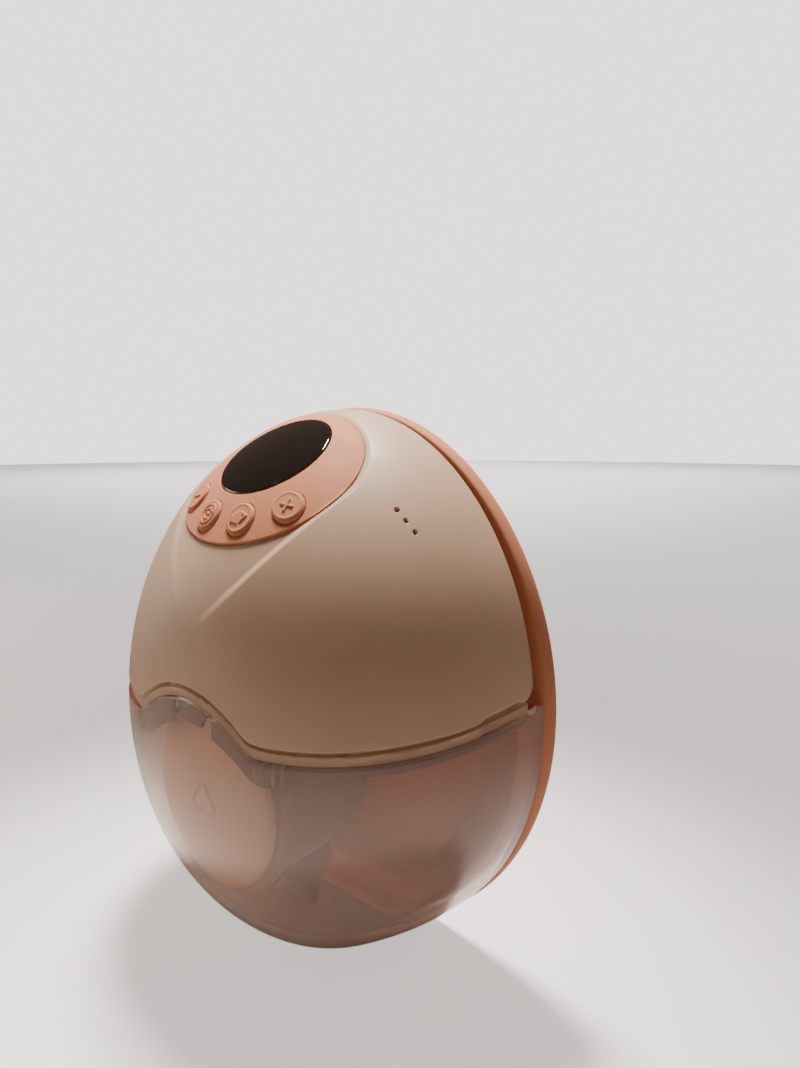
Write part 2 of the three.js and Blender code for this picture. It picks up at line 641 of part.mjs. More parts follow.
// Soft seal that hangs under the housing just inside the cup's wall.
function hostBaseSeal() {
  const strip = eggSkin(SEAL_OUTSIDE, SEAL_INSIDE)
    .intersect(aboveSeam(-LIP_HEIGHT - SEAL_DROP))
    .intersect(belowSeam(0.1 - LIP_HEIGHT));
  return strip.intersect(box(-FAR, FAR, -FAR, SEAL_BACK_Y, 0, 2 * FAR));
}

function addScrews() {
  SCREWS.forEach(([x, z], i) => {
    const headFront = COVER_BACK_Y - SCREW_SINK + GAP;
    const slotFloor = headFront + 0.6;
    const [long, thin] = [SLOT_HALF_LENGTH, SLOT_HALF_WIDTH];
    const head = screwPost(x, z, SCREW_HEAD_RADIUS, headFront, headFront + SCREW_HEAD_HEIGHT);
    const shank = screwPost(x, z, SCREW_SHANK_RADIUS, 2, headFront + 0.5);
    const slot = box(x - long, x + long, slotFloor, FAR, z - thin, z + thin);
    const cross = box(x - thin, x + thin, slotFloor, FAR, z - long, z + long);
    addPart("host_screw_" + (i + 1), head.add(shank).subtract(slot).subtract(cross), STEEL);
  });
}

// ---------------------------------------------------------------- panel, display and keys
function addPanel() {
  const pad = eggSkin(PAD_SINK, PAD_BACK).intersect(panelOval(-GAP)).subtract(displayOval(GAP));
  addPart("keypad_panel", withoutKeyHoles(pad, KEY_RADIUS + GAP), PEACH);
  const beforeCover = box(-FAR, FAR, -FAR, COVER_BACK_Y - COVER_WALL - GAP, 0, 2 * FAR);
  const carrierOval = panelOval(CARRIER_MARGIN).intersect(beforeCover);
  const carrier = eggSkin(PAD_BACK + GAP, PAD_BACK + 1.6).intersect(carrierOval).subtract(displayOval(-1));
  addPart("keypad_carrier", withoutKeyHoles(carrier, KEY_STEM_RADIUS + 0.5), CREAM_PLASTIC);
  const lens = eggSkin(-0.1, 1.7).intersect(displayOval(0));
  addPart("display_lens", lens, BLACK_GLASS);
  const [w, l] = [MODULE_HALF_WIDTH, MODULE_HALF_LENGTH];
  const module = panelBox(-w, w, DISPLAY_V - l, DISPLAY_V + l, BOARD_N + GAP, -0.6);
  addPart("display_module", module, BLACK_PLASTIC);
}

function addKeys() {
  KEYS.forEach(([name, u, v]) => {
    const cap = eggSkin(-KEY_RISE, KEY_SINK).intersect(keyHole(u, v, KEY_RADIUS));
    const stem = panelPrism(u, v, KEY_STEM_RADIUS, KEY_STEM_RADIUS, KEY_STEM_FOOT, 0.6, 16);
    addPart(name, cap.add(stem), PEACH);
    const switchName = name.replace("button", "tact_switch");
    const half = SWITCH_HALF_WIDTH;
    const body = panelBox(u - half, u + half, v - half, v + half, BOARD_N + GAP, BOARD_N + 1.4);
    const nub = panelPrism(u, v, 1, 1, BOARD_N + 1, BOARD_N + 1.9, 12);
    addPart(switchName, body.add(nub), BLACK_PLASTIC);
  });
}

function addBoard() {
  const board = panelBox(-19, 19, -17, 12, BOARD_N - BOARD_THICKNESS, BOARD_N);
  const chip = panelBox(-5, 5, -6, 3, BOARD_N - 2 * BOARD_THICKNESS, BOARD_N - 1);
  addPart("control_board", board.add(chip), GREEN_BOARD);
}

// ---------------------------------------------------------------- pump, valve, hoses and battery
const onPump = (x, dy = 0, dz = 0) => at(x, PUMP_Y + dy, PUMP_Z + dz);

const SHAFT_RADIUS = 1;
const CAN_END_X = -25;
const CAN_FRONT_X = -7;
const HEAD_END_X = 10;
const ROUND_SIDES = 28;
const CAM_RADIUS = 3.6;
const CAM_OFFSET = 1.2; // how far the cam's centre lies off the shaft
const TERMINAL_Y = 4;

function addPumpUnit() {
  const canBore = rod(onPump(-13), onPump(-6), SHAFT_RADIUS + GAP, 16);
  const can = rod(onPump(CAN_END_X), onPump(CAN_FRONT_X), PUMP_RADIUS, ROUND_SIDES).subtract(canBore);
  addPart("motor_can", can, STEEL);
  const terminal = (y) => box(-28.2, -26, y - 1, y + 1, PUMP_Z - 0.3, PUMP_Z + 0.3);
  const cap = rod(onPump(CAN_END_X - 2), onPump(CAN_END_X - GAP), PUMP_RADIUS - 1.6, 24);
  const tags = terminal(PUMP_Y - TERMINAL_Y).add(terminal(PUMP_Y + TERMINAL_Y));
  addPart("motor_end_cap", cap.add(tags), BLACK_PLASTIC);
  const head = rod(onPump(CAN_FRONT_X + GAP), onPump(HEAD_END_X), PUMP_RADIUS, ROUND_SIDES)
    .subtract(rod(onPump(CAN_FRONT_X), onPump(2), 6.5, 24))
    .add(rod(onPump(9.5, 0, 4), onPump(13.5, 0, 4), 1.3, 12));
  addPart("pump_head", head, BLACK_PLASTIC);
  addPart("motor_shaft", rod(onPump(-12.5), onPump(-1.2), SHAFT_RADIUS, 16), STEEL);
  const cam = rod(onPump(-5.4, CAM_OFFSET), onPump(-1.8, CAM_OFFSET), CAM_RADIUS, 24)
    .subtract(rod(onPump(-6), onPump(-1), SHAFT_RADIUS + 0.15, 16));
  addPart("eccentric_cam", cam, BRASS);
  const cradle = box(-22, 8, PUMP_Y - 3, PUMP_Y + 8, 69, 77.5)
    .subtract(rod(onPump(-FAR), onPump(FAR), PUMP_RADIUS + GAP, ROUND_SIDES))
    .subtract(box(-5, FAR, -FAR, -9.4, 0, FAR));
  addPart("pump_cradle", cradle, FOAM);
}

// Solenoid that lets air back in, with its plunger standing in the coil's bore.
const COIL_X = 27;
const COIL_Y = -8;
const COIL_HALF = 5;
const COIL_FLOOR_Z = 70;
const PLUNGER_RADIUS = 1.5;

function addPressureValve() {
  const onCoil = (z) => at(COIL_X, COIL_Y, z);
  const bore = rod(onCoil(73.6), onCoil(90), PLUNGER_RADIUS + 0.4, 16);
  const [left, right] = [COIL_X - COIL_HALF, COIL_X + COIL_HALF];
  const [front, back] = [COIL_Y - COIL_HALF, COIL_Y + COIL_HALF];
  const coil = box(left, right, front, back, COIL_FLOOR_Z, COIL_FLOOR_Z + 2 * COIL_HALF);
  addPart("pressure_valve_coil", coil.subtract(bore), BLACK_PLASTIC);
  const head = rod(onCoil(81.6), onCoil(83.2), 2.8, 16);
  const plunger = rod(onCoil(75.6), onCoil(83), PLUNGER_RADIUS, 16).add(head);
  addPart("pressure_valve_plunger", plunger, STEEL);
}

const ARM_Z = 71.6; // height of the air elbow's sideways arm

function addAirPath() {
  const floorZ = ARCH_Z + ARCH_RADIUS - LIP_HEIGHT + GAP + 0.1;
  const flangeZ = floorZ + COVER_WALL + GAP;
  const onPort = (x, z) => at(x, PORT_Y, z);
  const riser = rod(onPort(0, floorZ), onPort(0, ARM_Z), PORT_RADIUS);
  const flange = rod(onPort(0, flangeZ), onPort(0, flangeZ + 1), 3.6);
  const arm = rod(onPort(-2, ARM_Z), onPort(12, ARM_Z), 1.8, 16);
  const bore = rod(onPort(0, 60), onPort(0, ARM_Z), 1.1, 8);
  const armBore = rod(onPort(0, ARM_Z), onPort(13, ARM_Z), 1, 8);
  addPart("air_port_elbow", riser.add(flange).add(arm).subtract(bore).subtract(armBore), BLACK_PLASTIC);
  addPart("air_tee", box(12.3, 18.3, PORT_Y - 2.5, PORT_Y + 2.5, 69, 74), CREAM_PLASTIC);
  const pumpHose = [
    [14, PUMP_Y, 87],
    [16, PUMP_Y, 87],
    [18.4, -11, 83],
    [16, -13.2, 78],
    [15.3, -13.5, 76],
    [15.3, -13.5, 74.4],
  ];
  addPart("pump_hose", tube(pumpHose, 1.6, 14), CLEAR_SILICONE);
  const valveHose = [
    [18.8, -13.5, 71.5],
    [20.4, -13.5, 71.5],
    [24.2, -17.4, 73.2],
    [27, -16.8, 75],
    [27, -15, 75],
    [27, -13.4, 75],
  ];
  addPart("valve_hose", tube(valveHose, 1.4, 10), CLEAR_SILICONE);
}

function addPower() {
  const pouch = box(-23, 23, 2, 8.8, 81, 103);
  addPart("battery_cell", pouch.add(box(-8, 8, 3, 8, 102.5, 103.6)), BATTERY_WRAP);
  const [width, height] = [SOCKET_HALF_WIDTH, SOCKET_HALF_HEIGHT];
  const [front, back, sheet] = [SOCKET_Y - width, SOCKET_Y + width, 0.35];
  const outer = box(-47, -40, front, back, SOCKET_Z - height, SOCKET_Z + height);
  const [low, high] = [SOCKET_Z - height + sheet, SOCKET_Z + height - sheet];
  const inner = box(-FAR, -40.8, front + sheet, back - sheet, low, high);
  addPart("charge_socket_shell", outer.subtract(inner), STEEL);
  const tongue = box(-46, -41.2, SOCKET_Y - 3.2, SOCKET_Y + 3.2, SOCKET_Z - sheet, SOCKET_Z + sheet);
  addPart("charge_socket_tongue", tongue, BLACK_PLASTIC);
  const boardTop = SOCKET_Z - height - GAP;
  addPart("charge_board", box(-43, -33, SOCKET_Y - 5.5, SOCKET_Y + 4.6, boardTop - 1, boardTop), GREEN_BOARD);
  const motorLead = [
    [-28.9, -6, 84.6],
    [-29.4, -5, 88],
    [-27, -3.4, 94],
    [-22, -2.5, 99.6],
    [-17.6, -1.6, 101.4],
  ];
  addPart("motor_lead", tube(motorLead, 0.7, 12, 6), BLACK_PLASTIC);
  const batteryLead = [
    [9.2, 5.5, 104.6],
    [11.6, 5.5, 105.4],
    [13.5, 6.4, 107.6],
    [14.2, 7, 109],
  ];
  addPart("battery_lead", tube(batteryLead, 0.6, 8, 6), BLACK_PLASTIC);
}

// ---------------------------------------------------------------- assembly
addPart("collector_cup", collectorCup(), CLEAR);
addPart("linker_body", linkerBody(), CREAM_PLASTIC);
addPart("linker_front_disc", frontDisc(), CREAM_PLASTIC);
addPart("disc_seal_ring", discSealRing(), CLEAR_SILICONE);
addPart("suction_diaphragm", suctionDiaphragm(), CLEAR_SILICONE);
addPart("duckbill_valve", duckbillValve(), CLEAR_SILICONE);
addPart("air_port_gasket", airPortGasket(), CLEAR_SILICONE);
addPart("flange_shield", flangeShield(), PEACH);
addPart("host_front_shell", hostFrontShell(), CREAM);
addPart("host_back_cover", hostBackCover(), CREAM);
addPart("host_base_seal", hostBaseSeal(), CLEAR_SILICONE);
addScrews();
addPanel();
addKeys();
addBoard();
addPumpUnit();
addPressureValve();
addAirPath();
addPower();

export default pump;
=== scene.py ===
"""The looks of a wearable breast pump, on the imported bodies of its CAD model. Metres throughout."""

import json
import math

import bpy
import numpy as np
from mathutils import Matrix, Vector


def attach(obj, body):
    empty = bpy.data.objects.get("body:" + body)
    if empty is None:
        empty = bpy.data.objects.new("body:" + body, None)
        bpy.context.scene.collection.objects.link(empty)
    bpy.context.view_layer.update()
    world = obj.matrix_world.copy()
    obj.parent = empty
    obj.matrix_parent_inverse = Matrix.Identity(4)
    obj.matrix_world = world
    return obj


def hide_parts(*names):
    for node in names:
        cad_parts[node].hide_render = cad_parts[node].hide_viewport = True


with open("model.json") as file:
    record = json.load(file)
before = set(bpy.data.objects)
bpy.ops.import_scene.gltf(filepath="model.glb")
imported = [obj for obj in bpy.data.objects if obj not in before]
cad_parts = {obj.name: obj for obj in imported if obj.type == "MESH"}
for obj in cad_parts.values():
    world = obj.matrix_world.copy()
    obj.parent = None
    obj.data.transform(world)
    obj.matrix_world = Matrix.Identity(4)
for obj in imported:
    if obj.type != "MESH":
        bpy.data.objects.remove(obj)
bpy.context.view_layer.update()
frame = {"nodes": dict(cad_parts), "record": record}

# ---------------------------------------------------------------- dimensions, in metres
EGG_HALF_WIDTH = 0.0559
EGG_HALF_HEIGHT = 0.063
EGG_MID_Z = 0.062
EGG_DEPTH = 0.048
EGG_TAPER = 0.028
DOME_POWER = 0.76
NOSE_Z = 0.0546
NOSE_POWER = 1.75
RIM_Y = 0.021
BACK_Y = 0.027
FOOT_SPREAD_X = 0.0234
FOOT_SPREAD_Y = 0.0284
FOOT_DROP = 0.0049
FOOT_ROUNDING = 0.0005

GAP = 0.0003
CUP_WALL = 0.0018
SHELL_WALL = 0.002
SEAM_Z = 0.06517
SEAM_SLOPE = 0.149
SEAM_BLEND = 0.0012
ARCH_Z = 0.042
ARCH_RADIUS = 0.027
LIP_HEIGHT = 0.003
LIP_STEP = 0.0008
LIP_GROOVE = 0.0006
LIP_GROOVE_EDGE = (-0.0011, -0.0009)
LIP_OVERLAP = 0.0012
LIP_WALL = 0.001
SKIRT_INSET = 0.0023
SKIRT_WALL = 0.0009
SKIRT_TOP_DROP = 0.002
SKIRT_DROP = 0.0028
SKIRT_ARCH_DROP = 0.0032
LATCH_HALF_WIDTH = 0.007
LATCH_TOP_DROP = 0.0005
LATCH_DROP = 0.0082
LATCH_GAP = 0.0002
LATCH_INSET = 0.0023
LATCH_WALL = 0.0011
LATCH_CORNER = 0.001
LATCH_FACE_HALF_WIDTH = 0.0045
LATCH_FACE_DROP = 0.0068
LATCH_FACE_RELIEF = 0.0006
RIB_PLACES = (-0.0252, -0.0232, -0.0212, 0.0192, 0.0212, 0.0232, 0.0252)
RIB_HALF_WIDTH = 0.00035
RIB_LENGTH = 0.0046
RIB_DEPTH = 0.0006
RIB_TOP_DROP = 0.0019
EDGE_TOP_Y = 0.0208
EDGE_TOP_Z = 0.125
EDGE_LEAN = 0.06
CORNER_RADIUS = 0.003
NOTCH_DEPTH = 0.0009
NOTCH_FRONT = (0.003, 0.0045)
NOTCH_BACK = (0.0125, 0.0145)
NOTCH_FROM_X = 0.04

AXIS_Z = 0.043
TUNNEL_RADIUS = 0.012
TUNNEL_WALL = 0.002
TUNNEL_FRONT_Y = -0.009
BOWL_FLOOR_Y = 0.0105
BOWL_EDGE_Y = 0.0255
BOWL_POWER = 1.25
BOWL_INSET = 0.007
BOWL_ROUNDING = 0.006
BOWL_STEP = 0.0009
BOWL_STEP_START = 0.77
BOWL_STEP_END = 0.81
RIM_FACE_RISE = 0.0013
RIM_CLEARANCE = 0.0005
NECK_SINK = 0.0026
DRUM_RADIUS = 0.0203
DRUM_WALL = 0.0018
DRUM_FLANGE = 0.0012
DRUM_FLANGE_DEPTH = 0.0025
DRUM_FRONT_Y = -0.0186
DRUM_BACK_Y = -0.001
COLLAR_RADIUS = 0.019
COLLAR_BACK_Y = 0.0074
VALVE_Y = 0.004
DISC_DOME = 0.0034
DISC_MARK_DEPTH = 0.0004
DISC_MARK_LINE = (0.00025, 0.00065)
DISC_MARK_RISE = 0.001

PANEL_CENTRE = np.array([0.0, -0.0031, 0.1107])
PANEL_UP = np.array([0.0, 0.76, 0.65]) / math.hypot(0.76, 0.65)
PANEL_OUT = np.array([0.0, -0.65, 0.76]) / math.hypot(0.65, 0.76)
PANEL_HALF_WIDTH = 0.024
PANEL_HALF_LENGTH = 0.0205
DISPLAY_V = 0.004
DISPLAY_HALF_WIDTH = 0.0138
DISPLAY_HALF_LENGTH = 0.013
KEY_RADIUS = 0.0036
KEY_TOP = 0.0001
KEY_DISH = 0.00008
KEY_EDGE = 0.0007
KEY_MARK_RELIEF = 0.00025
KEY_MARK_LINE = (0.00018, 0.00042)
PAD_RISE = 0.0004
PAD_WALL = 0.0018
PAD_GAP = 0.0002
LENS_WALL = 0.0011
LENS_SINK = 0.00005
LENS_ROUNDING = 0.00035
KEYS = {
    "plus": (0.0152, -0.0095),
    "level": (0.0053, -0.0146),
    "mode": (-0.0053, -0.0146),
    "minus": (-0.0152, -0.0095),
}
DROP_HALF_WIDTH = 0.0259
DROP_TOP = 0.0223
DROP_TIP = 0.0373
DROP_DEPTH = 0.0009
DROP_TOP_POWER = 1.9
DROP_TIP_POWER = 1.37
DROP_EDGE = 0.0021
DROP_EDGE_GAIN = 0.0004
DROP_EDGE_SPAN = (-0.02, 0.012)
DROP_FADE_SPAN = (-0.0385, -0.016)
VENTS = [(0.0334, 0.0012, 0.1048), (0.0355, 0.0015, 0.1028), (0.0375, 0.0017, 0.1007)]
VENT_RADIUS = 0.0008
SOCKET_Y = 0.0073
SOCKET_Z = 0.084
SOCKET_HALF_SPAN = 0.0031
SOCKET_HALF_HEIGHT = 0.00195
CUP_SHADOW_OFFSET = 0.8
CAMERA_PLACE = (0.12755, -0.10637, 0.12063)

# surface_normals() steps by metres over the panel, and by turn and reach over the egg
STEP_IN_METRES = 2e-5
STEP_IN_TURNS = 4e-4
LARGEST_PANEL_PARAM = 0.2
REACH_LIMIT = 0.998


# ---------------------------------------------------------------- small maths
def smooth(value, low, high):
    """0 below low, 1 above high, and a soft step between."""
    share = np.clip((value - low) / (high - low), 0, 1)
    return share * share * (3 - 2 * share)


def unit(vectors):
    length = np.linalg.norm(vectors, axis=-1, keepdims=True)
    return vectors / np.maximum(length, 1e-12)


def rounded_max(height, level, rounding):
    blend = level + (height - level + rounding) ** 2 / (4 * rounding)
    near = np.abs(height - level) <= rounding
    return np.where(near, blend, np.maximum(height, level))


def rounded_corner(a, b, radius):
    """Distance inside two edges at once, with their corner rounded."""
    inside = np.minimum(a, b)
    round_part = radius - np.hypot(radius - a, radius - b)
    return np.where((a < radius) & (b < radius), round_part, inside)


# ---------------------------------------------------------------- the egg
def settle(x, y, z, inset, rounding):
    level = np.maximum(inset, 0)
    distance = np.hypot(x / FOOT_SPREAD_X, (RIM_Y - y) / FOOT_SPREAD_Y)
    drop = FOOT_DROP * np.exp(-(distance**4))
    return np.where(z < EGG_MID_Z / 2, rounded_max(z - drop, level, rounding), z)


def egg(params, inset=0.0, rounding=FOOT_ROUNDING):
    """Points of the egg from (turn, reach) pairs; a reach below 0 carries the rim straight back."""
    turn, reach = params[:, 0], params[:, 1]
    inset = np.broadcast_to(inset, turn.shape)
    ahead = np.clip(reach, 0, 1) * math.pi / 2
    forward = np.sin(ahead) + np.minimum(reach, 0) * math.pi / 2
    size = np.cos(ahead) ** DOME_POWER
    mid = EGG_MID_Z + (NOSE_Z - EGG_MID_Z) * np.clip(forward, 0, 1) ** NOSE_POWER
    x = size * (EGG_HALF_WIDTH - inset) * np.cos(turn) * (1 - EGG_TAPER * np.sin(turn))
    y = RIM_Y - (EGG_DEPTH - inset) * forward
    z = mid + size * (EGG_HALF_HEIGHT - inset) * np.sin(turn)
    return np.stack([x, y, settle(x, y, z, inset, rounding)], -1)


def egg_level(points, inset):
    """Below 0 inside the egg and above 0 outside it."""
    x, y, z = points.T
    forward = np.clip((RIM_Y - y) / (EGG_DEPTH - inset), 0, 0.99999)
    size = np.cos(np.arcsin(forward)) ** DOME_POWER
    mid = EGG_MID_Z + (NOSE_Z - EGG_MID_Z) * forward**NOSE_POWER
    rise = (z - mid) / (size * (EGG_HALF_HEIGHT - inset))
    across = x / (size * (EGG_HALF_WIDTH - inset) * (1 - EGG_TAPER * np.clip(rise, -1, 1)))
    return np.hypot(across, rise) - 1


def on_panel(u, v, n):
    u, v, n = (np.asarray(value, float)[..., None] for value in (u, v, n))
    return PANEL_CENTRE + u * np.array([1.0, 0, 0]) + v * PANEL_UP + n * PANEL_OUT


def panel_surface(params, inset=0.0):
    """Points of the egg over (u, v) of the control panel's plane."""
    u, v = params[:, 0], params[:, 1]
    inset = np.broadcast_to(inset, u.shape)
    low, high = np.full(u.shape, -0.014), np.full(u.shape, 0.014)
    for _ in range(26):
        mid = (low + high) / 2
        outside = egg_level(on_panel(u, v, mid), inset) > 0
        high = np.where(outside, mid, high)
        low = np.where(outside, low, mid)
    return on_panel(u, v, (low + high) / 2)


def panel_uv(points):
    offset = points - PANEL_CENTRE
    return offset[:, 0], offset @ PANEL_UP


# ---------------------------------------------------------------- seams as distances
def seam_height(x, y):
    plane = SEAM_Z + SEAM_SLOPE * y
    arch = ARCH_Z + np.sqrt(np.maximum(ARCH_RADIUS**2 - x**2, 0))
    blended = (plane + arch) / 2 + np.hypot(plane - arch, SEAM_BLEND) / 2
    return np.where(np.abs(x) < ARCH_RADIUS, blended, plane)


def above_seam(points, rise=0.0):
    return points[:, 2] - seam_height(points[:, 0], points[:, 1]) - rise


def before_back_edge(points):
    return EDGE_TOP_Y - EDGE_LEAN * (EDGE_TOP_Z - points[:, 2]) - points[:, 1]


def oval_distance(u, v, half_width, half_length):
    """Roughly the distance outside an ellipse."""
    level = np.hypot(u / half_width, v / half_length)
    slope = np.hypot(u / half_width**2, v / half_length**2) / np.maximum(level, 1e-9)
    return (level - 1) / np.maximum(slope, 1e-9)


def drop_distance(points):
    """Roughly the distance inside the drop-shaped outline round the control panel."""
    u, v = panel_uv(points)
    power = np.where(v > 0, DROP_TOP_POWER, DROP_TIP_POWER)
    length = np.where(v > 0, DROP_TOP, DROP_TIP)
    across, along = np.abs(u) / DROP_HALF_WIDTH, np.abs(v) / length
    level = 1 - across**power - along**power
    slope_u = power / DROP_HALF_WIDTH * np.maximum(across, 1e-4) ** (power - 1)
    slope_v = power / length * np.maximum(along, 1e-4) ** (power - 1)
    return level / np.hypot(slope_u, slope_v)


def drop_step(points):
    """0 outside the drop outline, 1 inside, across its sloping edge."""
    v = panel_uv(points)[1]
    width = DROP_EDGE + DROP_EDGE_GAIN * smooth(v, *DROP_EDGE_SPAN)
    return drop_distance(points) / width


def recess(points):
    """Depth of the sunken drop-shaped field."""
    v = panel_uv(points)[1]
    depth = DROP_DEPTH * smooth(v, *DROP_FADE_SPAN)
    return depth * smooth(drop_step(points), 0, 1)


def finger_notch(points):
    """Depth of the finger notch in each side of the housing's lower edge."""
    along = smooth(points[:, 1], *NOTCH_FRONT) * (1 - smooth(points[:, 1], *NOTCH_BACK))
    return NOTCH_DEPTH * along * (np.abs(points[:, 0]) > NOTCH_FROM_X)


# ---------------------------------------------------------------- sheets cut along curves
def grid(columns, rows):
    """(params, faces) of a plain grid."""
    params = np.array([(u, v) for v in rows for u in columns])
    n = len(columns)
    faces = [
        (r * n + i, r * n + i + 1, (r + 1) * n + i + 1, (r + 1) * n + i)
        for r in range(len(rows) - 1)
        for i in range(n - 1)
    ]
    return params, faces


def cut(sheet, field, keep_both=False):
    """Splits a sheet's faces along field = 0, and keeps the side above 0 or both sides."""
    params, faces = sheet
    value = field(params)
    kept, fresh = [], {}

    def crossing(a, b):
        key = (min(a, b), max(a, b))
        return fresh.setdefault(key, len(params) + len(fresh))

    for face in faces:
        inside = [value[i] > 0 for i in face]
        if all(inside) or (keep_both and not any(inside)):
            kept.append(face)
            continue
        if not any(inside):
            continue
        for side in (True, False) if keep_both else (True,):
            ring = []
            for k, a in enumerate(face):
                b = face[(k + 1) % len(face)]
                if inside[k] == side:
                    ring.append(a)
                if inside[k] != inside[(k + 1) % len(face)]:
                    ring.append(crossing(a, b))
            if len(ring) > 2:
                kept.append(tuple(ring))
    if fresh:
        low = np.array([params[a] if value[a] > 0 else params[b] for a, b in fresh])
        high = np.array([params[b] if value[a] > 0 else params[a] for a, b in fresh])
        for _ in range(16):
            mid = (low + high) / 2
            inside = (field(mid) > 0)[:, None]
            low = np.where(inside, mid, low)
            high = np.where(inside, high, mid)
        params = np.vstack([params, (low + high) / 2])
    used = sorted({i for face in kept for i in face})
    order = {old: new for new, old in enumerate(used)}
    return params[used], [tuple(order[i] for i in face) for face in kept]


def over(surface, field):
    """A field of points as a field of a surface's params."""
    return lambda params: field(surface(params))


# ---------------------------------------------------------------- meshes
def add_mesh(name, points, faces, normals=None):
    mesh = bpy.data.meshes.new(name)
    mesh.from_pydata([tuple(p) for p in points], [], [tuple(f) for f in faces])
    mesh.validate()
    mesh.shade_smooth()
    if normals is not None:
        mesh.normals_split_custom_set_from_vertices([tuple(n) for n in normals])
    obj = bpy.data.objects.new(name, mesh)
    bpy.context.scene.collection.objects.link(obj)
    return obj


def weld(points, params, faces):
    """Joins the vertices that share a place, such as where a sheet meets itself."""
    keys = np.round(points * 1e7).astype(np.int64)
    _, first, where = np.unique(keys, axis=0, return_index=True, return_inverse=True)
    where = where.ravel()
    joined = []
    for face in faces:
        ring = [where[i] for i in face]
        ring = [i for k, i in enumerate(ring) if i != ring[k - 1]]
        if len(ring) > 2:
            joined.append(tuple(ring))
    return params[first], joined


def surface_normals(surface, params):
    """Unit normals of surface(params) by small steps."""
    safe = params.copy()
    safe[:, 1] = np.minimum(safe[:, 1], REACH_LIMIT)
    step = STEP_IN_METRES if np.abs(safe).max() < LARGEST_PANEL_PARAM else STEP_IN_TURNS
    du = np.array([step, 0])
    dv = np.array([0, step])
    along_u = surface(safe + du) - surface(safe - du)
    along_v = surface(safe + dv) - surface(safe - dv)
    return unit(np.cross(along_u, along_v))


def skin(name, sheet, surface, depth, wall, rounding=0.0003):
    """A wall of even thickness with rounded edges. depth is an inset, or a field of points."""
    params, faces = sheet
    depth_of = depth if callable(depth) else (lambda points: np.full(len(points), depth))

    def shown(p):
        return surface(p, depth_of(surface(p)))

    params, faces = weld(shown(params), params, faces)
    outer = shown(params)
    inner = surface(params, depth_of(surface(params)) + wall)
    normals = surface_normals(shown, params)
    outward = unit(outer - inner)
    if (normals * outward).sum() < 0:
        normals = -normals
    a, b, c = (outer[[face[k] for face in faces]] for k in range(3))
    face_way = (np.cross(b - a, c - a) * normals[[face[0] for face in faces]]).sum()
    if face_way < 0:
        faces = [face[::-1] for face in faces]
    directed = {(f[k], f[(k + 1) % len(f)]) for f in faces for k in range(len(f))}
    border = [e for e in directed if (e[1], e[0]) not in directed]
    border = [e for e in border if np.linalg.norm(outer[e[0]] - outer[e[1]]) > 1e-8]
    spread = np.zeros_like(outer)
    for a, b in border:
        away = np.cross(outer[b] - outer[a], normals[a])
        spread[a] += away
        spread[b] += away
    rim = sorted({i for edge in border for i in edge})
    place = {old: new for new, old in enumerate(rim)}
    away = unit(spread[rim])
    base, floor, up = outer[rim], inner[rim], outward[rim]
    normal = normals[rim]
    points, shades = [outer], [normals]
    for turn in (30, 60, 90):
        s, c = math.sin(math.radians(turn)), math.cos(math.radians(turn))
        points.append(base + away * rounding * s - up * rounding * (1 - c))
        shades.append(unit(normal * c + away * s))
    for turn in (90, 45):
        s, c = math.sin(math.radians(turn)), math.cos(math.radians(turn))
        points.append(floor + away * rounding * s + up * rounding * (1 - c))
        shades.append(unit(-normal * c + away * s))
    points.append(inner)
    shades.append(-normals)
    count = len(outer)
    starts = [count + k * len(rim) for k in range(5)]
    inner_start = count + 5 * len(rim)
    made = list(faces)
    made += [tuple(inner_start + i for i in face[::-1]) for face in faces]
    for a, b in border:
        chain_a = [a] + [start + place[a] for start in starts] + [inner_start + a]
        chain_b = [b] + [start + place[b] for start in starts] + [inner_start + b]
        for k in range(6):
            made.append((chain_b[k], chain_a[k], chain_a[k + 1], chain_b[k + 1]))
    return add_mesh(name, np.vstack(points), made, np.vstack(shades))


def loft(name, rings, loop=False):
    """Rings of equal size joined into one surface; a loop joins its last ring to its first."""
    rings = np.asarray(rings)
    count, sides = rings.shape[:2]
    points = rings.reshape(-1, 3)
    faces = []
    for r in range(count if loop else count - 1):
        near, far = r * sides, ((r + 1) % count) * sides
        for i in range(sides):
            j = (i + 1) % sides
            faces.append((near + i, near + j, far + j, far + i))
    if not loop:
        faces.append(tuple(range(sides))[::-1])
        faces.append(tuple((count - 1) * sides + i for i in range(sides)))
    volume = 0.0
    for face in faces:
        a = points[face[0]]
        for k in range(1, len(face) - 1):
            volume += np.dot(a, np.cross(points[face[k]], points[face[k + 1]]))
    if volume < 0:
        faces = [face[::-1] for face in faces]
    return add_mesh(name, points, faces)


def smooth_loop(rings, steps):
    """A closed loop of rings with softly curved steps between them."""
    rings = np.asarray(rings)
    out = []
    count = len(rings)
    for i in range(count):
        p0, p1, p2, p3 = (rings[(i + k) % count] for k in (-1, 0, 1, 2))
        gap = np.linalg.norm(p2 - p1, axis=-1, keepdims=True)
        before = np.linalg.norm(p1 - p0, axis=-1, keepdims=True)
        after = np.linalg.norm(p3 - p2, axis=-1, keepdims=True)
        m1 = ((p2 - p1) / gap * before + (p1 - p0) / before * gap) / (gap + before) * gap
        m2 = ((p3 - p2) / after * gap + (p2 - p1) / gap * after) / (gap + after) * gap
        for s in range(steps):
            t = s / steps
            out.append(
                (2 * t**3 - 3 * t**2 + 1) * p1
                + (t**3 - 2 * t**2 + t) * m1
                + (3 * t**2 - 2 * t**3) * p2
                + (t**3 - t**2) * m2
            )
    return out


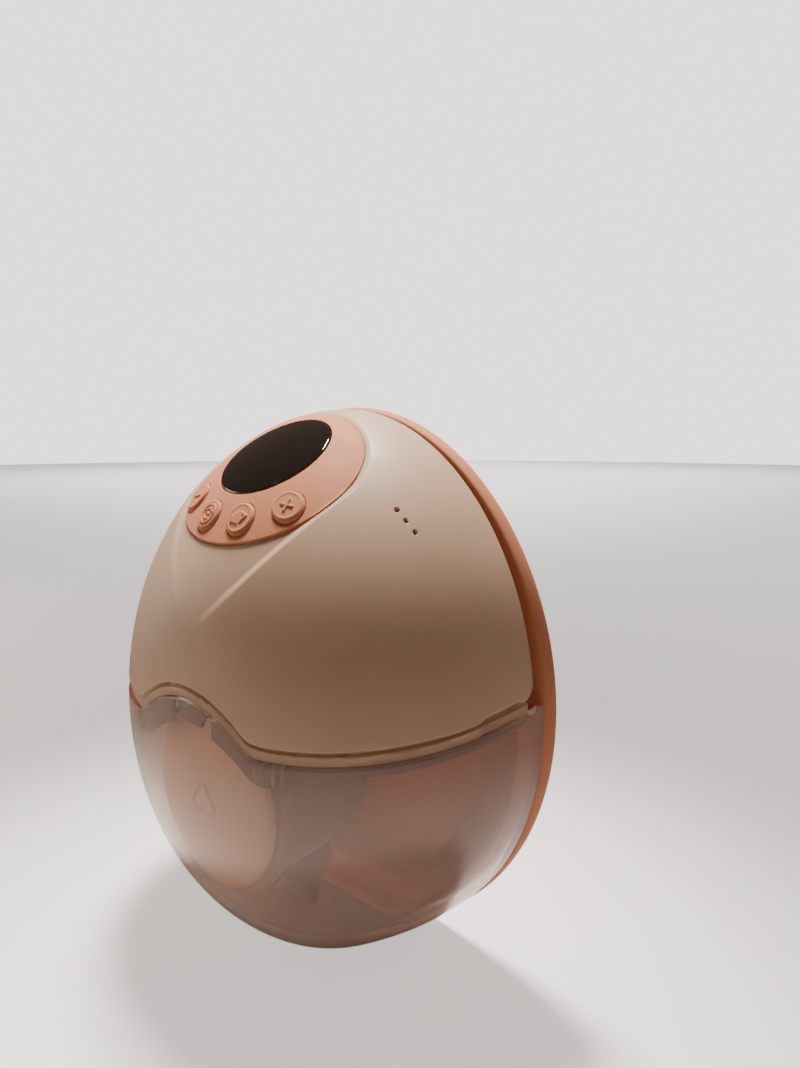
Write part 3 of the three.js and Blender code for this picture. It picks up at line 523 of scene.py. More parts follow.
def lathe(name, profile, sides=96):
    """A closed profile of (radius, y) points turned about the linker's axis."""
    turns = np.linspace(0, 2 * math.pi, sides, endpoint=False)
    rings = [
        np.stack([r * np.cos(turns), np.full(sides, y), AXIS_Z + r * np.sin(turns)], -1)
        for r, y in profile
    ]
    return loft(name, rings, loop=True)


# ---------------------------------------------------------------- materials
class Look:
    """A procedural material built on one Principled shader."""

    def __init__(self, name, colour, roughness, **sockets):
        self.material = bpy.data.materials.new(name)
        self.material.use_nodes = True
        self.nodes = self.material.node_tree.nodes
        self.links = self.material.node_tree.links
        self.shader = self.nodes["Principled BSDF"]
        self.output = self.nodes["Material Output"]
        self.shader.inputs["Base Color"].default_value = (*colour, 1)
        self.shader.inputs["Roughness"].default_value = roughness
        self.colour, self.roughness = colour, roughness
        for socket, value in sockets.items():
            self.shader.inputs[socket.replace("_", " ")].default_value = value
        self.place = self.nodes.new("ShaderNodeTexCoord").outputs["Object"]

    def noise(self, scale, detail=3.0, stretch=(1, 1, 1)):
        mapping = self.nodes.new("ShaderNodeMapping")
        mapping.inputs["Scale"].default_value = stretch
        self.links.new(self.place, mapping.inputs["Vector"])
        noise = self.nodes.new("ShaderNodeTexNoise")
        noise.inputs["Scale"].default_value = scale
        noise.inputs["Detail"].default_value = detail
        self.links.new(mapping.outputs["Vector"], noise.inputs["Vector"])
        return noise.outputs["Fac"]

    def ramp(self, source, low, high, start=0.35, end=0.65):
        spread = self.nodes.new("ShaderNodeMapRange")
        spread.inputs["From Min"].default_value = start
        spread.inputs["From Max"].default_value = end
        spread.inputs["To Min"].default_value = low
        spread.inputs["To Max"].default_value = high
        self.links.new(source, spread.inputs["Value"])
        return spread.outputs["Result"]

    def tint(self, source, low, high, start=0.3, end=0.7):
        """Base colour between low and high as a noise goes from start to end."""
        ramp = self.nodes.new("ShaderNodeValToRGB")
        ramp.color_ramp.elements[0].position = start
        ramp.color_ramp.elements[1].position = end
        ramp.color_ramp.elements[0].color = (*low, 1)
        ramp.color_ramp.elements[1].color = (*high, 1)
        self.links.new(source, ramp.inputs["Fac"])
        self.links.new(ramp.outputs["Color"], self.shader.inputs["Base Color"])

    def vary(self, scale=90, colour=0.03, rough=0.05):
        """Slight unevenness of colour and gloss."""
        source = self.noise(scale)
        low = tuple(c * (1 - colour) for c in self.colour)
        high = tuple(min(c * (1 + colour), 1) for c in self.colour)
        self.tint(source, low, high)
        gloss = self.ramp(self.noise(scale * 3), self.roughness - rough, self.roughness + rough)
        self.links.new(gloss, self.shader.inputs["Roughness"])
        return self

    def bump(self, scale, strength, distance=0.0001, detail=2.0, stretch=(1, 1, 1)):
        """Fine surface relief; call again to add another scale of it."""
        node = self.nodes.new("ShaderNodeBump")
        node.inputs["Strength"].default_value = strength
        node.inputs["Distance"].default_value = distance
        self.links.new(self.noise(scale, detail, stretch), node.inputs["Height"])
        held = self.shader.inputs["Normal"].links
        if held:
            self.links.new(held[0].from_socket, node.inputs["Normal"])
        self.links.new(node.outputs["Normal"], self.shader.inputs["Normal"])
        return self

    def let_light_through(self, tint):
        """Lamps reach what is behind this clear material."""
        clear = self.nodes.new("ShaderNodeBsdfTransparent")
        clear.inputs["Color"].default_value = (*tint, 1)
        mix = self.nodes.new("ShaderNodeMixShader")
        path = self.nodes.new("ShaderNodeLightPath")
        self.links.new(path.outputs["Is Shadow Ray"], mix.inputs["Fac"])
        self.links.new(self.shader.outputs["BSDF"], mix.inputs[1])
        self.links.new(clear.outputs["BSDF"], mix.inputs[2])
        self.links.new(mix.outputs["Shader"], self.output.inputs["Surface"])
        return self

    def glow_for_camera(self, colour, strength):
        """Lightens a studio surface in the picture, without lighting the object."""
        glow = self.nodes.new("ShaderNodeEmission")
        glow.inputs["Color"].default_value = (*colour, 1)
        path = self.nodes.new("ShaderNodeLightPath")
        level = self.nodes.new("ShaderNodeMath")
        level.operation = "MULTIPLY"
        level.inputs[1].default_value = strength
        self.links.new(path.outputs["Is Camera Ray"], level.inputs[0])
        self.links.new(level.outputs["Value"], glow.inputs["Strength"])
        both = self.nodes.new("ShaderNodeAddShader")
        self.links.new(self.shader.outputs["BSDF"], both.inputs[0])
        self.links.new(glow.outputs["Emission"], both.inputs[1])
        self.links.new(both.outputs["Shader"], self.output.inputs["Surface"])


def make_looks():
    looks = {}
    looks["cream_shell"] = (
        Look("cream_shell", (0.58, 0.375, 0.25), 0.5, Specular_IOR_Level=0.3)
        .vary(70, 0.02, 0.04)
        .bump(2600, 0.2, 0.00003)
        .bump(160, 0.05, 0.0001)
    )
    looks["cream_plastic"] = (
        Look("cream_plastic", (0.8, 0.56, 0.35), 0.34).vary(60, 0.02, 0.04).bump(900, 0.08, 0.00003)
    )
    # Darker than cream_plastic and partly see-through. On the linker drum this darker tone is partly
    # the drum's see-through plastic and partly painted shade; on the cup ribs it is a painted
    # highlight in place of their clear plastic.
    looks["linker_plastic"] = (
        Look("linker_plastic", (0.46, 0.31, 0.235), 0.3, Transmission_Weight=0.3, IOR=1.3)
        .bump(900, 0.08, 0.00003)
        .let_light_through((0.42, 0.3, 0.24))
    )
    looks["clear_cup"] = (
        Look(
            "clear_cup",
            (0.88, 0.73, 0.67),
            0.04,
            Transmission_Weight=0.84,
            IOR=1.12,
            Coat_Weight=0.35,
            Coat_Roughness=0.04,
        )
        .bump(120, 0.02, 0.0001)
        .let_light_through((0.93, 0.86, 0.81))
    )
    looks["peach_silicone"] = (
        Look(
            "peach_silicone",
            (0.61, 0.235, 0.125),
            0.65,
            Sheen_Weight=0.02,
            Specular_IOR_Level=0.12,
        )
        .vary(80, 0.03, 0.05)
        .bump(350, 0.06, 0.00005)
    )
    looks["clear_silicone"] = (
        Look("clear_silicone", (0.36, 0.23, 0.17), 0.35, Transmission_Weight=0.35, IOR=1.41)
        .bump(300, 0.08, 0.00005)
        .let_light_through((0.6, 0.48, 0.42))
    )
    # On the housing skirt and the latch tongue this dark brown is painted shade of the housing's
    # inside, in place of their own clear and cream colours.
    looks["brown_seal"] = (
        Look("brown_seal", (0.17, 0.095, 0.07), 0.35, Specular_IOR_Level=0.4)
        .vary(200, 0.04, 0.05)
        .bump(300, 0.08, 0.00005)
    )
    looks["black_glass"] = (
        Look("black_glass", (0.012, 0.008, 0.007), 0.06, Coat_Weight=0.5, Coat_Roughness=0.02)
        .vary(40, 0.1, 0.015)
        .bump(60, 0.01, 0.0001)
    )
    looks["steel"] = (
        Look("steel", (0.58, 0.59, 0.6), 0.28, Metallic=1.0)
        .vary(300, 0.05, 0.08)
        .bump(500, 0.1, 0.00003, 2, (8, 1, 1))
    )
    looks["brass"] = (
        Look("brass", (0.62, 0.42, 0.15), 0.3, Metallic=1.0)
        .vary(300, 0.06, 0.08)
        .bump(600, 0.08, 0.00003)
    )
    looks["circuit_board"] = (
        Look("circuit_board", (0.02, 0.13, 0.06), 0.35)
        .vary(500, 0.25, 0.1)
        .bump(900, 0.2, 0.00004)
    )
    looks["black_plastic"] = (
        Look("black_plastic", (0.02, 0.02, 0.022), 0.45)
        .vary(300, 0.15, 0.06)
        .bump(1500, 0.2, 0.00004)
    )
    looks["battery_wrap"] = (
        Look("battery_wrap", (0.16, 0.28, 0.42), 0.35)
        .vary(200, 0.08, 0.08)
        .bump(250, 0.15, 0.0001)
    )
    looks["foam"] = (
        Look("foam", (0.045, 0.044, 0.043), 0.95)
        .vary(900, 0.3, 0.03)
        .bump(1800, 0.8, 0.0002, 4)
    )
    return looks


LOOKS = make_looks()


def finish_piece(obj, look, body, *nodes, tone=None):
    """Gives a piece its material, its body and the CAD nodes it stands for."""
    obj.data.materials.clear()
    obj.data.materials.append(LOOKS[tone or look].material)
    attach(obj, body)
    if nodes:
        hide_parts(*nodes)
    return obj


# ---------------------------------------------------------------- housing
def spaced(start, end, step, zones=()):
    """Values from start to end, at a finer step inside each (low, high, step) zone."""
    out, value = [], start
    while value < end:
        out.append(value)
        near = [fine for low, high, fine in zones if low <= value <= high]
        value += min([step, *near])
    return [*out, end]


def panel_hole(points, margin):
    u, v = panel_uv(points)
    return oval_distance(u, v, PANEL_HALF_WIDTH, PANEL_HALF_LENGTH) - margin


def round_hole(centre, radius):
    centre = np.array(centre)
    return lambda points: np.linalg.norm(points - centre, axis=1) - radius


def socket_hole(points):
    """Distance outside the charging socket's rounded slot, on the left side."""
    along = np.clip(points[:, 1], SOCKET_Y - SOCKET_HALF_SPAN, SOCKET_Y + SOCKET_HALF_SPAN)
    distance = np.hypot(points[:, 1] - along, points[:, 2] - SOCKET_Z) - SOCKET_HALF_HEIGHT
    return np.where(points[:, 0] < 0, distance, 1.0)


def housing():
    edge = 0.0003
    fine_turns = [(0.88, 1.02, math.radians(0.22))]
    fine_reaches = [(0.235, 0.3, 0.0022)]
    turns = spaced(math.radians(-90), math.radians(270), math.radians(1.3), fine_turns)
    reaches = spaced(-0.014, 0.97, 0.0085, fine_reaches)
    sheet = grid(turns, reaches)
    sheet = cut(sheet, over(egg, lambda p: above_seam(p, -0.002)))

    def outline(points):
        low = above_seam(points) - finger_notch(points)
        return rounded_corner(low, before_back_edge(points), CORNER_RADIUS) - edge

    sheet = cut(sheet, over(egg, outline))
    sheet = cut(sheet, over(egg, lambda p: panel_hole(p, edge)))
    sheet = cut(sheet, over(egg, lambda p: socket_hole(p) - edge))
    for vent in VENTS:
        sheet = cut(sheet, over(egg, round_hole(vent, VENT_RADIUS)))
    for level in (0.0, 0.25, 0.5, 0.75, 1.0):
        sheet = cut(sheet, over(egg, lambda p: drop_step(p) - level), keep_both=True)
    shell = skin("housing_shell", sheet, egg, recess, SHELL_WALL, edge)
    finish_piece(shell, "cream_shell", "host", "host_front_shell")

    band = cut(grid(turns, reaches), over(egg, lambda p: above_seam(p, -LIP_HEIGHT) - edge))
    band = cut(band, over(egg, lambda p: LIP_OVERLAP - above_seam(p)))
    band = cut(band, over(egg, lambda p: before_back_edge(p) - LIP_OVERLAP))
    for rise in LIP_GROOVE_EDGE[::-1]:
        band = cut(band, over(egg, lambda p: above_seam(p, rise)), keep_both=True)

    def lip_depth(points):
        groove = LIP_GROOVE * smooth(above_seam(points), *LIP_GROOVE_EDGE)
        return LIP_STEP + groove + finger_notch(points) * 0.5

    lip = skin("housing_lip", band, egg, lip_depth, LIP_WALL, edge)
    finish_piece(lip, "cream_shell", "host", "host_front_shell")


def housing_skirt():
    """The strip that hangs just inside the cup's edge."""
    turns = np.linspace(math.radians(-90), math.radians(270), 300)
    reaches = np.linspace(0.05, 0.97, 110)

    def hem(points):
        under_arch = 1 - smooth(np.abs(points[:, 0]), 0.8 * ARCH_RADIUS, ARCH_RADIUS)
        return above_seam(points, -LIP_HEIGHT - SKIRT_DROP - SKIRT_ARCH_DROP * under_arch)

    sheet = cut(grid(turns, reaches), over(egg, hem))
    sheet = cut(sheet, over(egg, lambda p: -above_seam(p, -SKIRT_TOP_DROP)))
    sheet = cut(sheet, over(egg, lambda p: np.abs(p[:, 0]) - LATCH_HALF_WIDTH - LATCH_GAP))
    for side, way in (("left", -1), ("right", 1)):
        strip = cut(sheet, over(egg, lambda p: way * p[:, 0]))
        skirt = skin("housing_skirt_" + side, strip, egg, SKIRT_INSET, SKIRT_WALL, 0.0002)
        # The dark brown_seal tone on the skirt, in place of its clear silicone, is painted shade of
        # the housing's inside.
        finish_piece(skirt, "clear_silicone", "host", "host_base_seal", tone="brown_seal")


def front_y(x, z, inset):
    """Where a line along Y at (x, z) meets the front of the egg."""
    low, high = -0.0265, 0.02
    for _ in range(30):
        mid = (low + high) / 2
        if egg_level(np.array([[x, mid, z]]), inset)[0] > 0:
            low = mid
        else:
            high = mid
    return (low + high) / 2


def cup_ribs():
    """Short upright ribs inside the cup, beside the arch."""
    turns = np.linspace(0, 2 * math.pi, 16, endpoint=False)
    for k, x in enumerate(RIB_PLACES):
        top = seam_height(x, -0.018) - LIP_HEIGHT - RIB_TOP_DROP
        rings = []
        for share in (0, 0.04, 0.12, 0.3, 0.5, 0.7, 0.88, 0.96, 1.0):
            size = 0.35 + 0.65 * math.sin(math.pi * min(max(share, 0.02), 0.98)) ** 0.35
            z = top - RIB_LENGTH * share
            y = front_y(x, z, CUP_WALL) + GAP
            across = RIB_HALF_WIDTH * size * np.cos(turns)
            deep = RIB_DEPTH * size * np.sin(turns)
            rings.append(np.stack([x + across, y + deep, np.full(16, float(z))], -1))
        rib = loft("cup_rib_%d" % (k + 1), rings)
        # The ribs are clear like the cup; the lighter linker_plastic tone on them is a painted
        # highlight.
        finish_piece(rib, "clear_cup", "collector", tone="linker_plastic")


def latch_tongue():
    turns = np.linspace(math.radians(60), math.radians(120), 130)
    reaches = np.linspace(0.6, 0.97, 130)

    def slab(points):
        side = LATCH_HALF_WIDTH - np.abs(points[:, 0])
        low = above_seam(points, -LATCH_DROP)
        return rounded_corner(side, low, LATCH_CORNER)

    sheet = cut(grid(turns, reaches), over(egg, slab))
    sheet = cut(sheet, over(egg, lambda p: -above_seam(p, -LATCH_TOP_DROP)))

    def face(points):
        side = LATCH_FACE_HALF_WIDTH - np.abs(points[:, 0])
        low = above_seam(points, -LATCH_FACE_DROP)
        inside = rounded_corner(side, low, LATCH_CORNER)
        return LATCH_INSET + LATCH_FACE_RELIEF * smooth(inside, 0, LATCH_FACE_RELIEF)

    tongue = skin("latch_tongue", sheet, egg, face, LATCH_WALL)
    # The tongue belongs to the cream shell; its dark brown_seal tone is painted shade inside the
    # cup's top.
    finish_piece(tongue, "cream_shell", "host", tone="brown_seal")


# ---------------------------------------------------------------- cup
def cup():
    edge = 0.00025
    turns = np.linspace(math.radians(90), math.radians(450), 321)
    reaches = [*np.linspace(0, 0.97, 105), 0.985, 0.995, 1.0]
    sheet = cut(grid(turns, reaches), over(egg, lambda p: -above_seam(p, -LIP_HEIGHT - GAP) - edge))
    sheet = cut(sheet, over(egg, lambda p: RIM_Y - GAP - edge - p[:, 1]))
    body = skin("clear_milk_cup", sheet, egg, 0.0, CUP_WALL, edge)
    body.shadow_terminator_geometry_offset = CUP_SHADOW_OFFSET
    finish_piece(body, "clear_cup", "collector", "collector_cup")


# ---------------------------------------------------------------- flange
def bowl_ring(turns, share, radius, inset, y):
    rim = egg(np.stack([turns, np.zeros_like(turns)], -1), inset, BOWL_ROUNDING)
    x = radius * np.cos(turns) * (1 - share) + rim[:, 0] * share
    z = (AXIS_Z + radius * np.sin(turns)) * (1 - share) + rim[:, 2] * share
    return np.stack([x, np.full_like(x, y), z], -1)


def bowl_y(share):
    step = BOWL_STEP * smooth(share, BOWL_STEP_START, BOWL_STEP_END)
    return BOWL_FLOOR_Y + (BOWL_EDGE_Y - BOWL_FLOOR_Y) * share**BOWL_POWER + step


def rim_ring(turns, inset, y, deeper=0.0):
    """One ring of the rim; its neck lies deeper behind the housing than in the cup."""
    plain = egg(np.stack([turns, np.zeros_like(turns)], -1), inset)
    inset = inset + deeper * smooth(plain[:, 2], 0.058, 0.07)
    spot = egg(np.stack([turns, np.zeros_like(turns)], -1), inset)
    upper = np.maximum(0, (spot[:, 2] - EGG_MID_Z) / EGG_HALF_HEIGHT)
    share = min(max((BACK_Y - y) / (BACK_Y - RIM_Y), 0), 1)
    z = rounded_max(spot[:, 2], RIM_CLEARANCE, FOOT_ROUNDING)
    return np.stack([spot[:, 0], y + RIM_FACE_RISE * upper * share, z], -1)


def flange():
    turns = np.linspace(0, 2 * math.pi, 220, endpoint=False)
    outer = TUNNEL_RADIUS + TUNNEL_WALL
    shares = [0.04, 0.1, 0.18, 0.28, 0.4, 0.52, 0.64, 0.74, 0.77, 0.79, 0.81, 0.84, 0.9]
    rings = [bowl_ring(turns, 0, TUNNEL_RADIUS, BOWL_INSET, TUNNEL_FRONT_Y + 0.0004)]
    rings.append(bowl_ring(turns, 0, TUNNEL_RADIUS, BOWL_INSET, -0.003))
    rings.append(bowl_ring(turns, 0, TUNNEL_RADIUS, BOWL_INSET, BOWL_FLOOR_Y - 0.003))
    rings += [bowl_ring(turns, s, TUNNEL_RADIUS, BOWL_INSET, bowl_y(s)) for s in shares]
    rim = [
        (0.006, -0.0009, 0),
        (0.0036, 0, 0),
        (0.0014, -0.0001, 0),
        (0.0001, -0.0011, 0),
        (-0.0004, -0.0028, 0),
        (-0.0003, -0.0046, 0),
        (0.0002, -0.0058, 0),
        (0.0008, -0.006, 0),
        (0.0022, -0.006, 0.5),
        (0.0026, -0.0063, 1),
        (0.0028, -0.0104, 1),
        (0.0033, -0.0115, 1),
        (0.0041, -0.0112, 0.9),
        (0.0045, -0.0066, 0.8),
    ]
    rings += [rim_ring(turns, inset, BACK_Y + y, NECK_SINK * share) for inset, y, share in rim]
    for s in shares[::-1]:
        rings.append(bowl_ring(turns, s, outer, BOWL_INSET - 0.0012, bowl_y(s) - TUNNEL_WALL))
    rings.append(bowl_ring(turns, 0, outer, BOWL_INSET, BOWL_FLOOR_Y - 0.0036))
    rings.append(bowl_ring(turns, 0, outer, BOWL_INSET, -0.003))
    rings.append(bowl_ring(turns, 0, outer, BOWL_INSET, TUNNEL_FRONT_Y + 0.0004))
    rings.append(bowl_ring(turns, 0, outer - 0.0005, BOWL_INSET, TUNNEL_FRONT_Y))
    rings.append(bowl_ring(turns, 0, TUNNEL_RADIUS + 0.0005, BOWL_INSET, TUNNEL_FRONT_Y))
    shield = loft("silicone_flange", smooth_loop(rings, 4), loop=True)
    finish_piece(shield, "peach_silicone", "flange", "flange_shield")


# ---------------------------------------------------------------- linker
def rounded_profile(points, radius=0.0004, steps=3):
    """A closed profile with its corners rounded."""
    points = [np.array(p) for p in points]
    out = []
    for i, corner in enumerate(points):
        before, after = points[i - 1] - corner, points[(i + 1) % len(points)] - corner
        reach = min(radius, np.linalg.norm(before) / 2.2, np.linalg.norm(after) / 2.2)
        start = corner + before / np.linalg.norm(before) * reach
        end = corner + after / np.linalg.norm(after) * reach
        for s in range(steps + 1):
            t = s / steps
            out.append((1 - t) ** 2 * start + 2 * t * (1 - t) * corner + t**2 * end)
    return out


def disc_relief(x, z):
    """Shallow grooves of a plain triangle mark on the front disc."""
    height, half = 0.0035, 0.0042
    corners = [np.array([0, height]), np.array([-half, -height]), np.array([half, -height])]
    spots = np.stack([x, z - AXIS_Z - DISC_MARK_RISE], -1)
    nearest = np.full(x.shape, 1.0)
    for i, start in enumerate(corners):
        along = corners[(i + 1) % 3] - start
        share = np.clip(((spots - start) @ along) / (along @ along), 0.16, 0.84)
        offset = spots - start - share[..., None] * along
        nearest = np.minimum(nearest, np.linalg.norm(offset, axis=-1))
    return DISC_MARK_DEPTH * (1 - smooth(nearest, *DISC_MARK_LINE))


def front_disc():
    rim = DRUM_RADIUS - 0.0006
    back = DRUM_FRONT_Y - GAP
    sides = 200
    turns = np.linspace(0, 2 * math.pi, sides, endpoint=False)
    radii = [*np.linspace(0.0001, 0.0075, 56), *np.linspace(0.0085, rim * 0.95, 10)]
    rings = []
    for radius in radii:
        x, z = radius * np.cos(turns), AXIS_Z + radius * np.sin(turns)
        dome = DISC_DOME * np.sqrt(max(1 - (radius / (rim * 1.06)) ** 2, 0))
        rings.append(np.stack([x, back - dome + disc_relief(x, z), z], -1))
    edge = [
        (rim * 0.98, -0.00125),
        (rim * 0.995, -0.0009),
        (rim, -0.0005),
        (rim * 0.99, 0),
        (rim * 0.7, 0),
    ]
    for radius, y in edge:
        x, z = radius * np.cos(turns), AXIS_Z + radius * np.sin(turns)
        rings.append(np.stack([x, np.full(sides, back + y), z], -1))
    disc = loft("front_disc", rings)
    finish_piece(disc, "cream_plastic", "linker", "linker_front_disc")


def linker():
    inner = DRUM_RADIUS - DRUM_WALL
    collar_inner = COLLAR_RADIUS - DRUM_WALL
    seat = TUNNEL_RADIUS + TUNNEL_WALL + GAP
    profile = [
        (DRUM_RADIUS + DRUM_FLANGE, DRUM_FRONT_Y),
        (DRUM_RADIUS + DRUM_FLANGE, DRUM_FRONT_Y + DRUM_FLANGE_DEPTH),
        (DRUM_RADIUS, DRUM_FRONT_Y + 0.0032),
        (DRUM_RADIUS, DRUM_BACK_Y),
        (COLLAR_RADIUS, DRUM_BACK_Y + 0.0008),
        (COLLAR_RADIUS, COLLAR_BACK_Y),
        (seat, COLLAR_BACK_Y),
        (seat, COLLAR_BACK_Y - 0.0015),
        (collar_inner, COLLAR_BACK_Y - 0.0015),
        (collar_inner, DRUM_BACK_Y - 0.0012),
        (inner, DRUM_BACK_Y - 0.0018),
        (inner, DRUM_FRONT_Y),
    ]
    drum = lathe("linker_drum", rounded_profile(profile), 128)
    # The drum is cream plastic; its darker linker_plastic tone is partly see-through plastic and
    # partly painted shade.
    finish_piece(drum, "cream_plastic", "linker", "linker_body", tone="linker_plastic")


def valve():
    sides = 48
    turns = np.linspace(0, 2 * math.pi, sides, endpoint=False)

    def ring(half_x, half_y, z, power):
        c, s = np.cos(turns), np.sin(turns)
        x = half_x * np.sign(c) * np.abs(c) ** power
        y = VALVE_Y + half_y * np.sign(s) * np.abs(s) ** power
        return np.stack([x, y, np.full(sides, z)], -1)

    rings = [
        ring(0.0053, 0.0053, 0.0218, 1),
        ring(0.0066, 0.0066, 0.0222, 1),
        ring(0.0069, 0.0069, 0.0216, 1),
        ring(0.0069, 0.0069, 0.0162, 1),
        ring(0.006, 0.005, 0.0138, 0.9),
        ring(0.0052, 0.003, 0.010, 0.75),
        ring(0.0046, 0.0009, 0.0064, 0.55),
        ring(0.0044, 0.0006, 0.0062, 0.5),
        ring(0.0038, 0.00025, 0.0063, 0.5),
        ring(0.0042, 0.0016, 0.010, 0.75),
        ring(0.0046, 0.0034, 0.0142, 0.9),
        ring(0.0053, 0.0053, 0.0164, 1),
    ]
    bill = loft("duckbill", smooth_loop(rings, 3), loop=True)
    finish_piece(bill, "clear_silicone", "linker", "duckbill_valve")


# ---------------------------------------------------------------- control panel
def pad_depth(points):
    return recess(points) - PAD_RISE


def keypad():
    edge = 0.0002
    columns = np.linspace(-0.0245, 0.0245, 140)
    rows = np.linspace(-0.021, 0.021, 120)

    def plane(field):
        return lambda params: field(params[:, 0], params[:, 1])

    def inside_pad(u, v):
        distance = oval_distance(u, v, PANEL_HALF_WIDTH - PAD_GAP, PANEL_HALF_LENGTH - PAD_GAP)
        return -edge - distance

    def outside_display(u, v):
        half_width, half_length = DISPLAY_HALF_WIDTH + PAD_GAP, DISPLAY_HALF_LENGTH + PAD_GAP
        return oval_distance(u, v - DISPLAY_V, half_width, half_length) - edge

    def inside_display(u, v):
        distance = oval_distance(u, v - DISPLAY_V, DISPLAY_HALF_WIDTH, DISPLAY_HALF_LENGTH)
        return -LENS_ROUNDING - distance

    def lens_depth(points):
        return recess(points) - PAD_RISE - LENS_SINK

    hole = KEY_RADIUS + 0.0001
    sheet = cut(grid(columns, rows), plane(inside_pad))
    sheet = cut(sheet, plane(outside_display))
    for key_u, key_v in KEYS.values():
        sheet = cut(sheet, plane(lambda u, v: np.hypot(u - key_u, v - key_v) - hole - edge))
    pad = skin("keypad", sheet, panel_surface, pad_depth, PAD_WALL, edge)
    finish_piece(pad, "peach_silicone", "host", "keypad_panel")

    sheet = cut(grid(columns, rows), plane(inside_display))
    lens = skin("display_window", sheet, panel_surface, lens_depth, LENS_WALL, LENS_ROUNDING)
    finish_piece(lens, "black_glass", "host", "display_lens")


def bar(a, b, start, end):
    """Distance from points (a, b) to a straight bar's centre line."""
    start, end = np.array(start), np.array(end)
    along = end - start
    spots = np.stack([a, b], -1) - start
    share = np.clip(spots @ along / (along @ along), 0, 1)
    return np.linalg.norm(spots - share[..., None] * along, axis=-1)


def ring_mark(a, b, centre, radius, open_from=None):
    """Distance to a thin ring, open over the angles beyond open_from."""
    distance = np.abs(np.hypot(a - centre[0], b - centre[1]) - radius)
    if open_from is None:
        return distance
    angle = np.abs(np.arctan2(b - centre[1], a - centre[0]))
    return np.where(angle > open_from, distance, 1.0)


MARKS = {
    "plus": lambda a, b: np.minimum(
        bar(a, b, (-0.0013, 0), (0.0013, 0)),
        bar(a, b, (0, -0.0013), (0, 0.0013)),
    ),
    "minus": lambda a, b: bar(a, b, (-0.0013, 0), (0.0013, 0)),
    "level": lambda a, b: np.minimum.reduce(
        [
            bar(a, b, (-0.0019, -0.0006), (-0.0019, 0.0006)),
            bar(a, b, (-0.0012, -0.0009), (-0.0012, 0.0009)),
            bar(a, b, (-0.0005, -0.0012), (-0.0005, 0.0012)),
            bar(a, b, (0.0005, -0.001), (0.0018, 0)),
            bar(a, b, (0.0005, 0.001), (0.0018, 0)),
            bar(a, b, (0.0005, -0.001), (0.0005, 0.001)),
        ]
    ),
    "mode": lambda a, b: np.minimum.reduce(
        [
            ring_mark(a, b, (0, 0), 0.0021),
            ring_mark(a, b, (0, 0), 0.0012, 0.6),
            bar(a, b, (-0.0003, 0), (0.0004, 0)),
        ]
    ),
}
MARK_TURN = {"plus": 0.05, "level": 0.35, "mode": -0.35, "minus": -0.05}


def key_caps():
    turns = np.linspace(0, 2 * math.pi, 120, endpoint=False)
    top = KEY_RADIUS - KEY_EDGE
    radii = np.linspace(0.00005, top, 44)
    for name, (key_u, key_v) in KEYS.items():
        cos, sin = math.cos(MARK_TURN[name]), math.sin(MARK_TURN[name])
        rings = []
        dish = KEY_DISH * (1 - smooth(radii, 0.84 * top, 0.99 * top))
        section = list(zip(radii, dish))
        for angle in np.radians([15, 30, 45, 60, 75, 90]):
            section.append((top + KEY_EDGE * math.sin(angle), KEY_EDGE * (1 - math.cos(angle))))
        section += [(KEY_RADIUS, 0.0011), (KEY_RADIUS, 0.0013)]
        section += [(KEY_RADIUS * 0.9, 0.0014), (KEY_RADIUS * 0.5, 0.0014)]
        for radius, fall in section:
            a, b = radius * np.cos(turns), radius * np.sin(turns)
            mark = MARKS[name](a * cos + b * sin, b * cos - a * sin)
            relief = KEY_MARK_RELIEF * (1 - smooth(mark, *KEY_MARK_LINE)) * (radius <= top)
            params = np.stack([key_u + a, key_v + b], -1)
            rings.append(panel_surface(params, fall - KEY_TOP - relief))
        cap = loft("key_cap_" + name, rings)
        finish_piece(cap, "peach_silicone", "key_" + name, "button_" + name)


# ---------------------------------------------------------------- carried-over CAD nodes
def dress_cad_nodes():
    slots = {row["node"]: row["material_slot"] for row in frame["record"]["subparts"]}
    for name, node in frame["nodes"].items():
        node.data.materials.clear()
        node.data.materials.append(LOOKS[slots[name]].material)


# ---------------------------------------------------------------- stage, lights and camera
def add_stage():
    """A round pale floor."""
    sides = 96
    turns = np.linspace(0, 2 * math.pi, sides, endpoint=False)
    radii = [0.0001, 0.3, 1.0, 2.6]
    points = [(r * math.cos(t), r * math.sin(t), 0.0) for r in radii for t in turns]
    faces = []
    for k in range(len(radii) - 1):
        near, far = k * sides, (k + 1) * sides
        for i in range(sides):
            j = (i + 1) % sides
            faces.append((near + i, far + i, far + j, near + j))
    floor = add_mesh("floor", points, faces)
    look = Look("floor_paint", (0.86, 0.81, 0.77), 0.6)
    look.vary(4, 0.01, 0.03)
    look.bump(400, 0.02, 0.0002)
    look.glow_for_camera((1.0, 0.98, 0.96), 0.75)
    floor.data.materials.append(look.material)


def add_light(name, place, target, size, power, colour=(1, 1, 1), spread=180):
    lamp = bpy.data.lights.new(name, "AREA")
    lamp.shape = "RECTANGLE"
    lamp.size, lamp.size_y = size
    lamp.energy = power
    lamp.color = colour
    lamp.spread = math.radians(spread)
    obj = bpy.data.objects.new(name, lamp)
    bpy.context.scene.collection.objects.link(obj)
    obj.location = place
    obj.rotation_euler = (Vector(target) - Vector(place)).to_track_quat("-Z", "Y").to_euler()


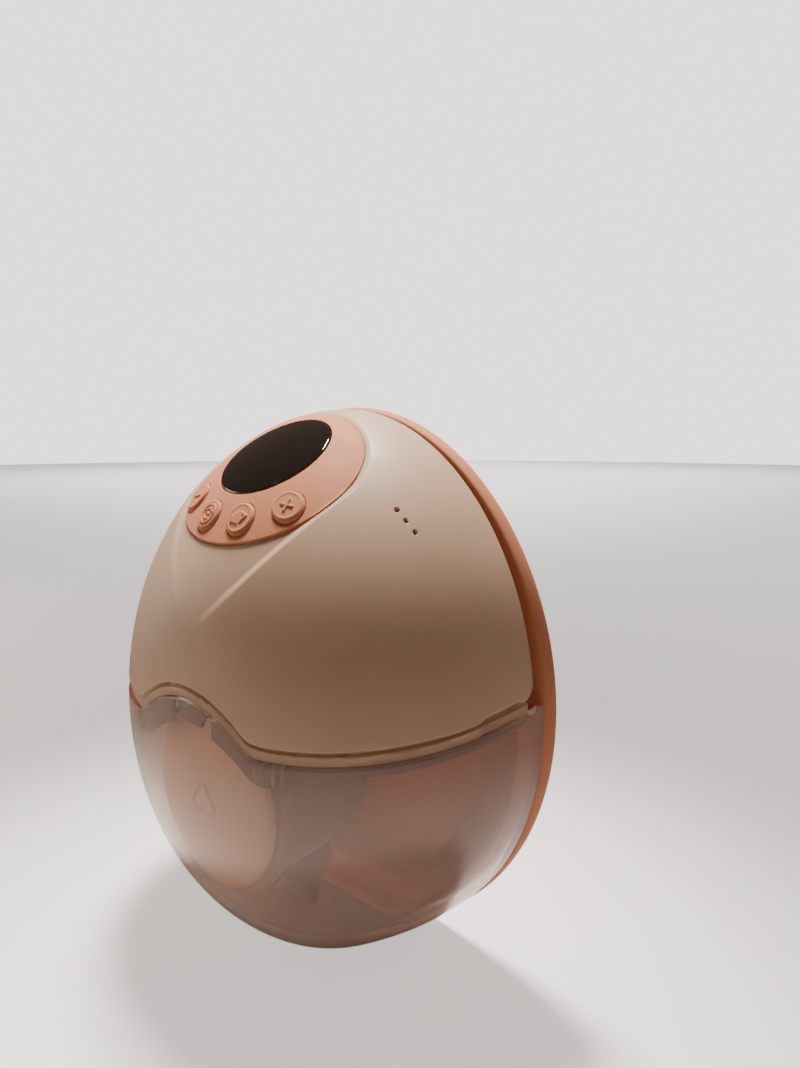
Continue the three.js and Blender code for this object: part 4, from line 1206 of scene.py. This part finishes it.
def add_world():
    """A pale backdrop for the camera, and a dimmer warm room for everything else."""
    world = bpy.data.worlds.new("studio")
    bpy.context.scene.world = world
    world.use_nodes = True
    nodes, links = world.node_tree.nodes, world.node_tree.links
    room = nodes["Background"]
    room.inputs["Color"].default_value = (1.0, 0.68, 0.5, 1)
    room.inputs["Strength"].default_value = 0.1
    backdrop = nodes.new("ShaderNodeBackground")
    backdrop.inputs["Color"].default_value = (1.0, 0.98, 0.96, 1)
    backdrop.inputs["Strength"].default_value = 2.2
    path = nodes.new("ShaderNodeLightPath")
    mix = nodes.new("ShaderNodeMixShader")
    links.new(path.outputs["Is Camera Ray"], mix.inputs["Fac"])
    links.new(room.outputs["Background"], mix.inputs[1])
    links.new(backdrop.outputs["Background"], mix.inputs[2])
    links.new(mix.outputs["Shader"], nodes["World Output"].inputs["Surface"])


def add_lights():
    centre = (0, 0, 0.08)
    key = bpy.data.lights.new("key_light", "SPOT")
    key.energy = 21
    key.color = (1, 0.97, 0.93)
    key.spot_size = math.radians(36)
    key.spot_blend = 0.8
    key.shadow_soft_size = 0.05
    lamp = bpy.data.objects.new("key_light", key)
    bpy.context.scene.collection.objects.link(lamp)
    lamp.location = (-0.08, 0.08, 0.48)
    lamp.rotation_euler = (Vector(centre) - lamp.location).to_track_quat("-Z", "Y").to_euler()
    add_light("left_light", (-0.5, -0.2, 0.15), centre, (0.25, 0.25), 0.8, (1, 0.86, 0.74))
    add_light("back_light", (0.35, 0.55, 0.45), centre, (0.3, 0.3), 0.55, (1, 0.93, 0.88))
    for k in range(4):
        turn = math.radians(40 + 90 * k)
        x, y = 1.7 * math.cos(turn), 1.7 * math.sin(turn)
        add_light("floor_light_%d" % (k + 1), (x, y, 0.8), (x, y, 0), (1.7, 1.7), 15, spread=80)


def add_camera():
    data = bpy.data.cameras.new("camera")
    data.lens = 24.94
    data.sensor_width = 36
    data.clip_start = 0.01
    camera = bpy.data.objects.new("camera", data)
    bpy.context.scene.collection.objects.link(camera)
    azimuth, elevation = math.radians(40.96), math.radians(8.19)
    right = Vector((math.cos(azimuth), math.sin(azimuth), 0))
    back = Vector(
        (
            math.sin(azimuth) * math.cos(elevation),
            -math.cos(azimuth) * math.cos(elevation),
            math.sin(elevation),
        )
    )
    up = back.cross(right)
    turned = Matrix((right, up, back)).transposed().to_4x4()
    camera.matrix_world = Matrix.Translation(CAMERA_PLACE) @ turned
    bpy.context.scene.camera = camera


add_camera()
dress_cad_nodes()
housing()
housing_skirt()
latch_tongue()
cup()
cup_ribs()
flange()
linker()
front_disc()
valve()
keypad()
key_caps()
add_stage()
add_lights()
add_world()
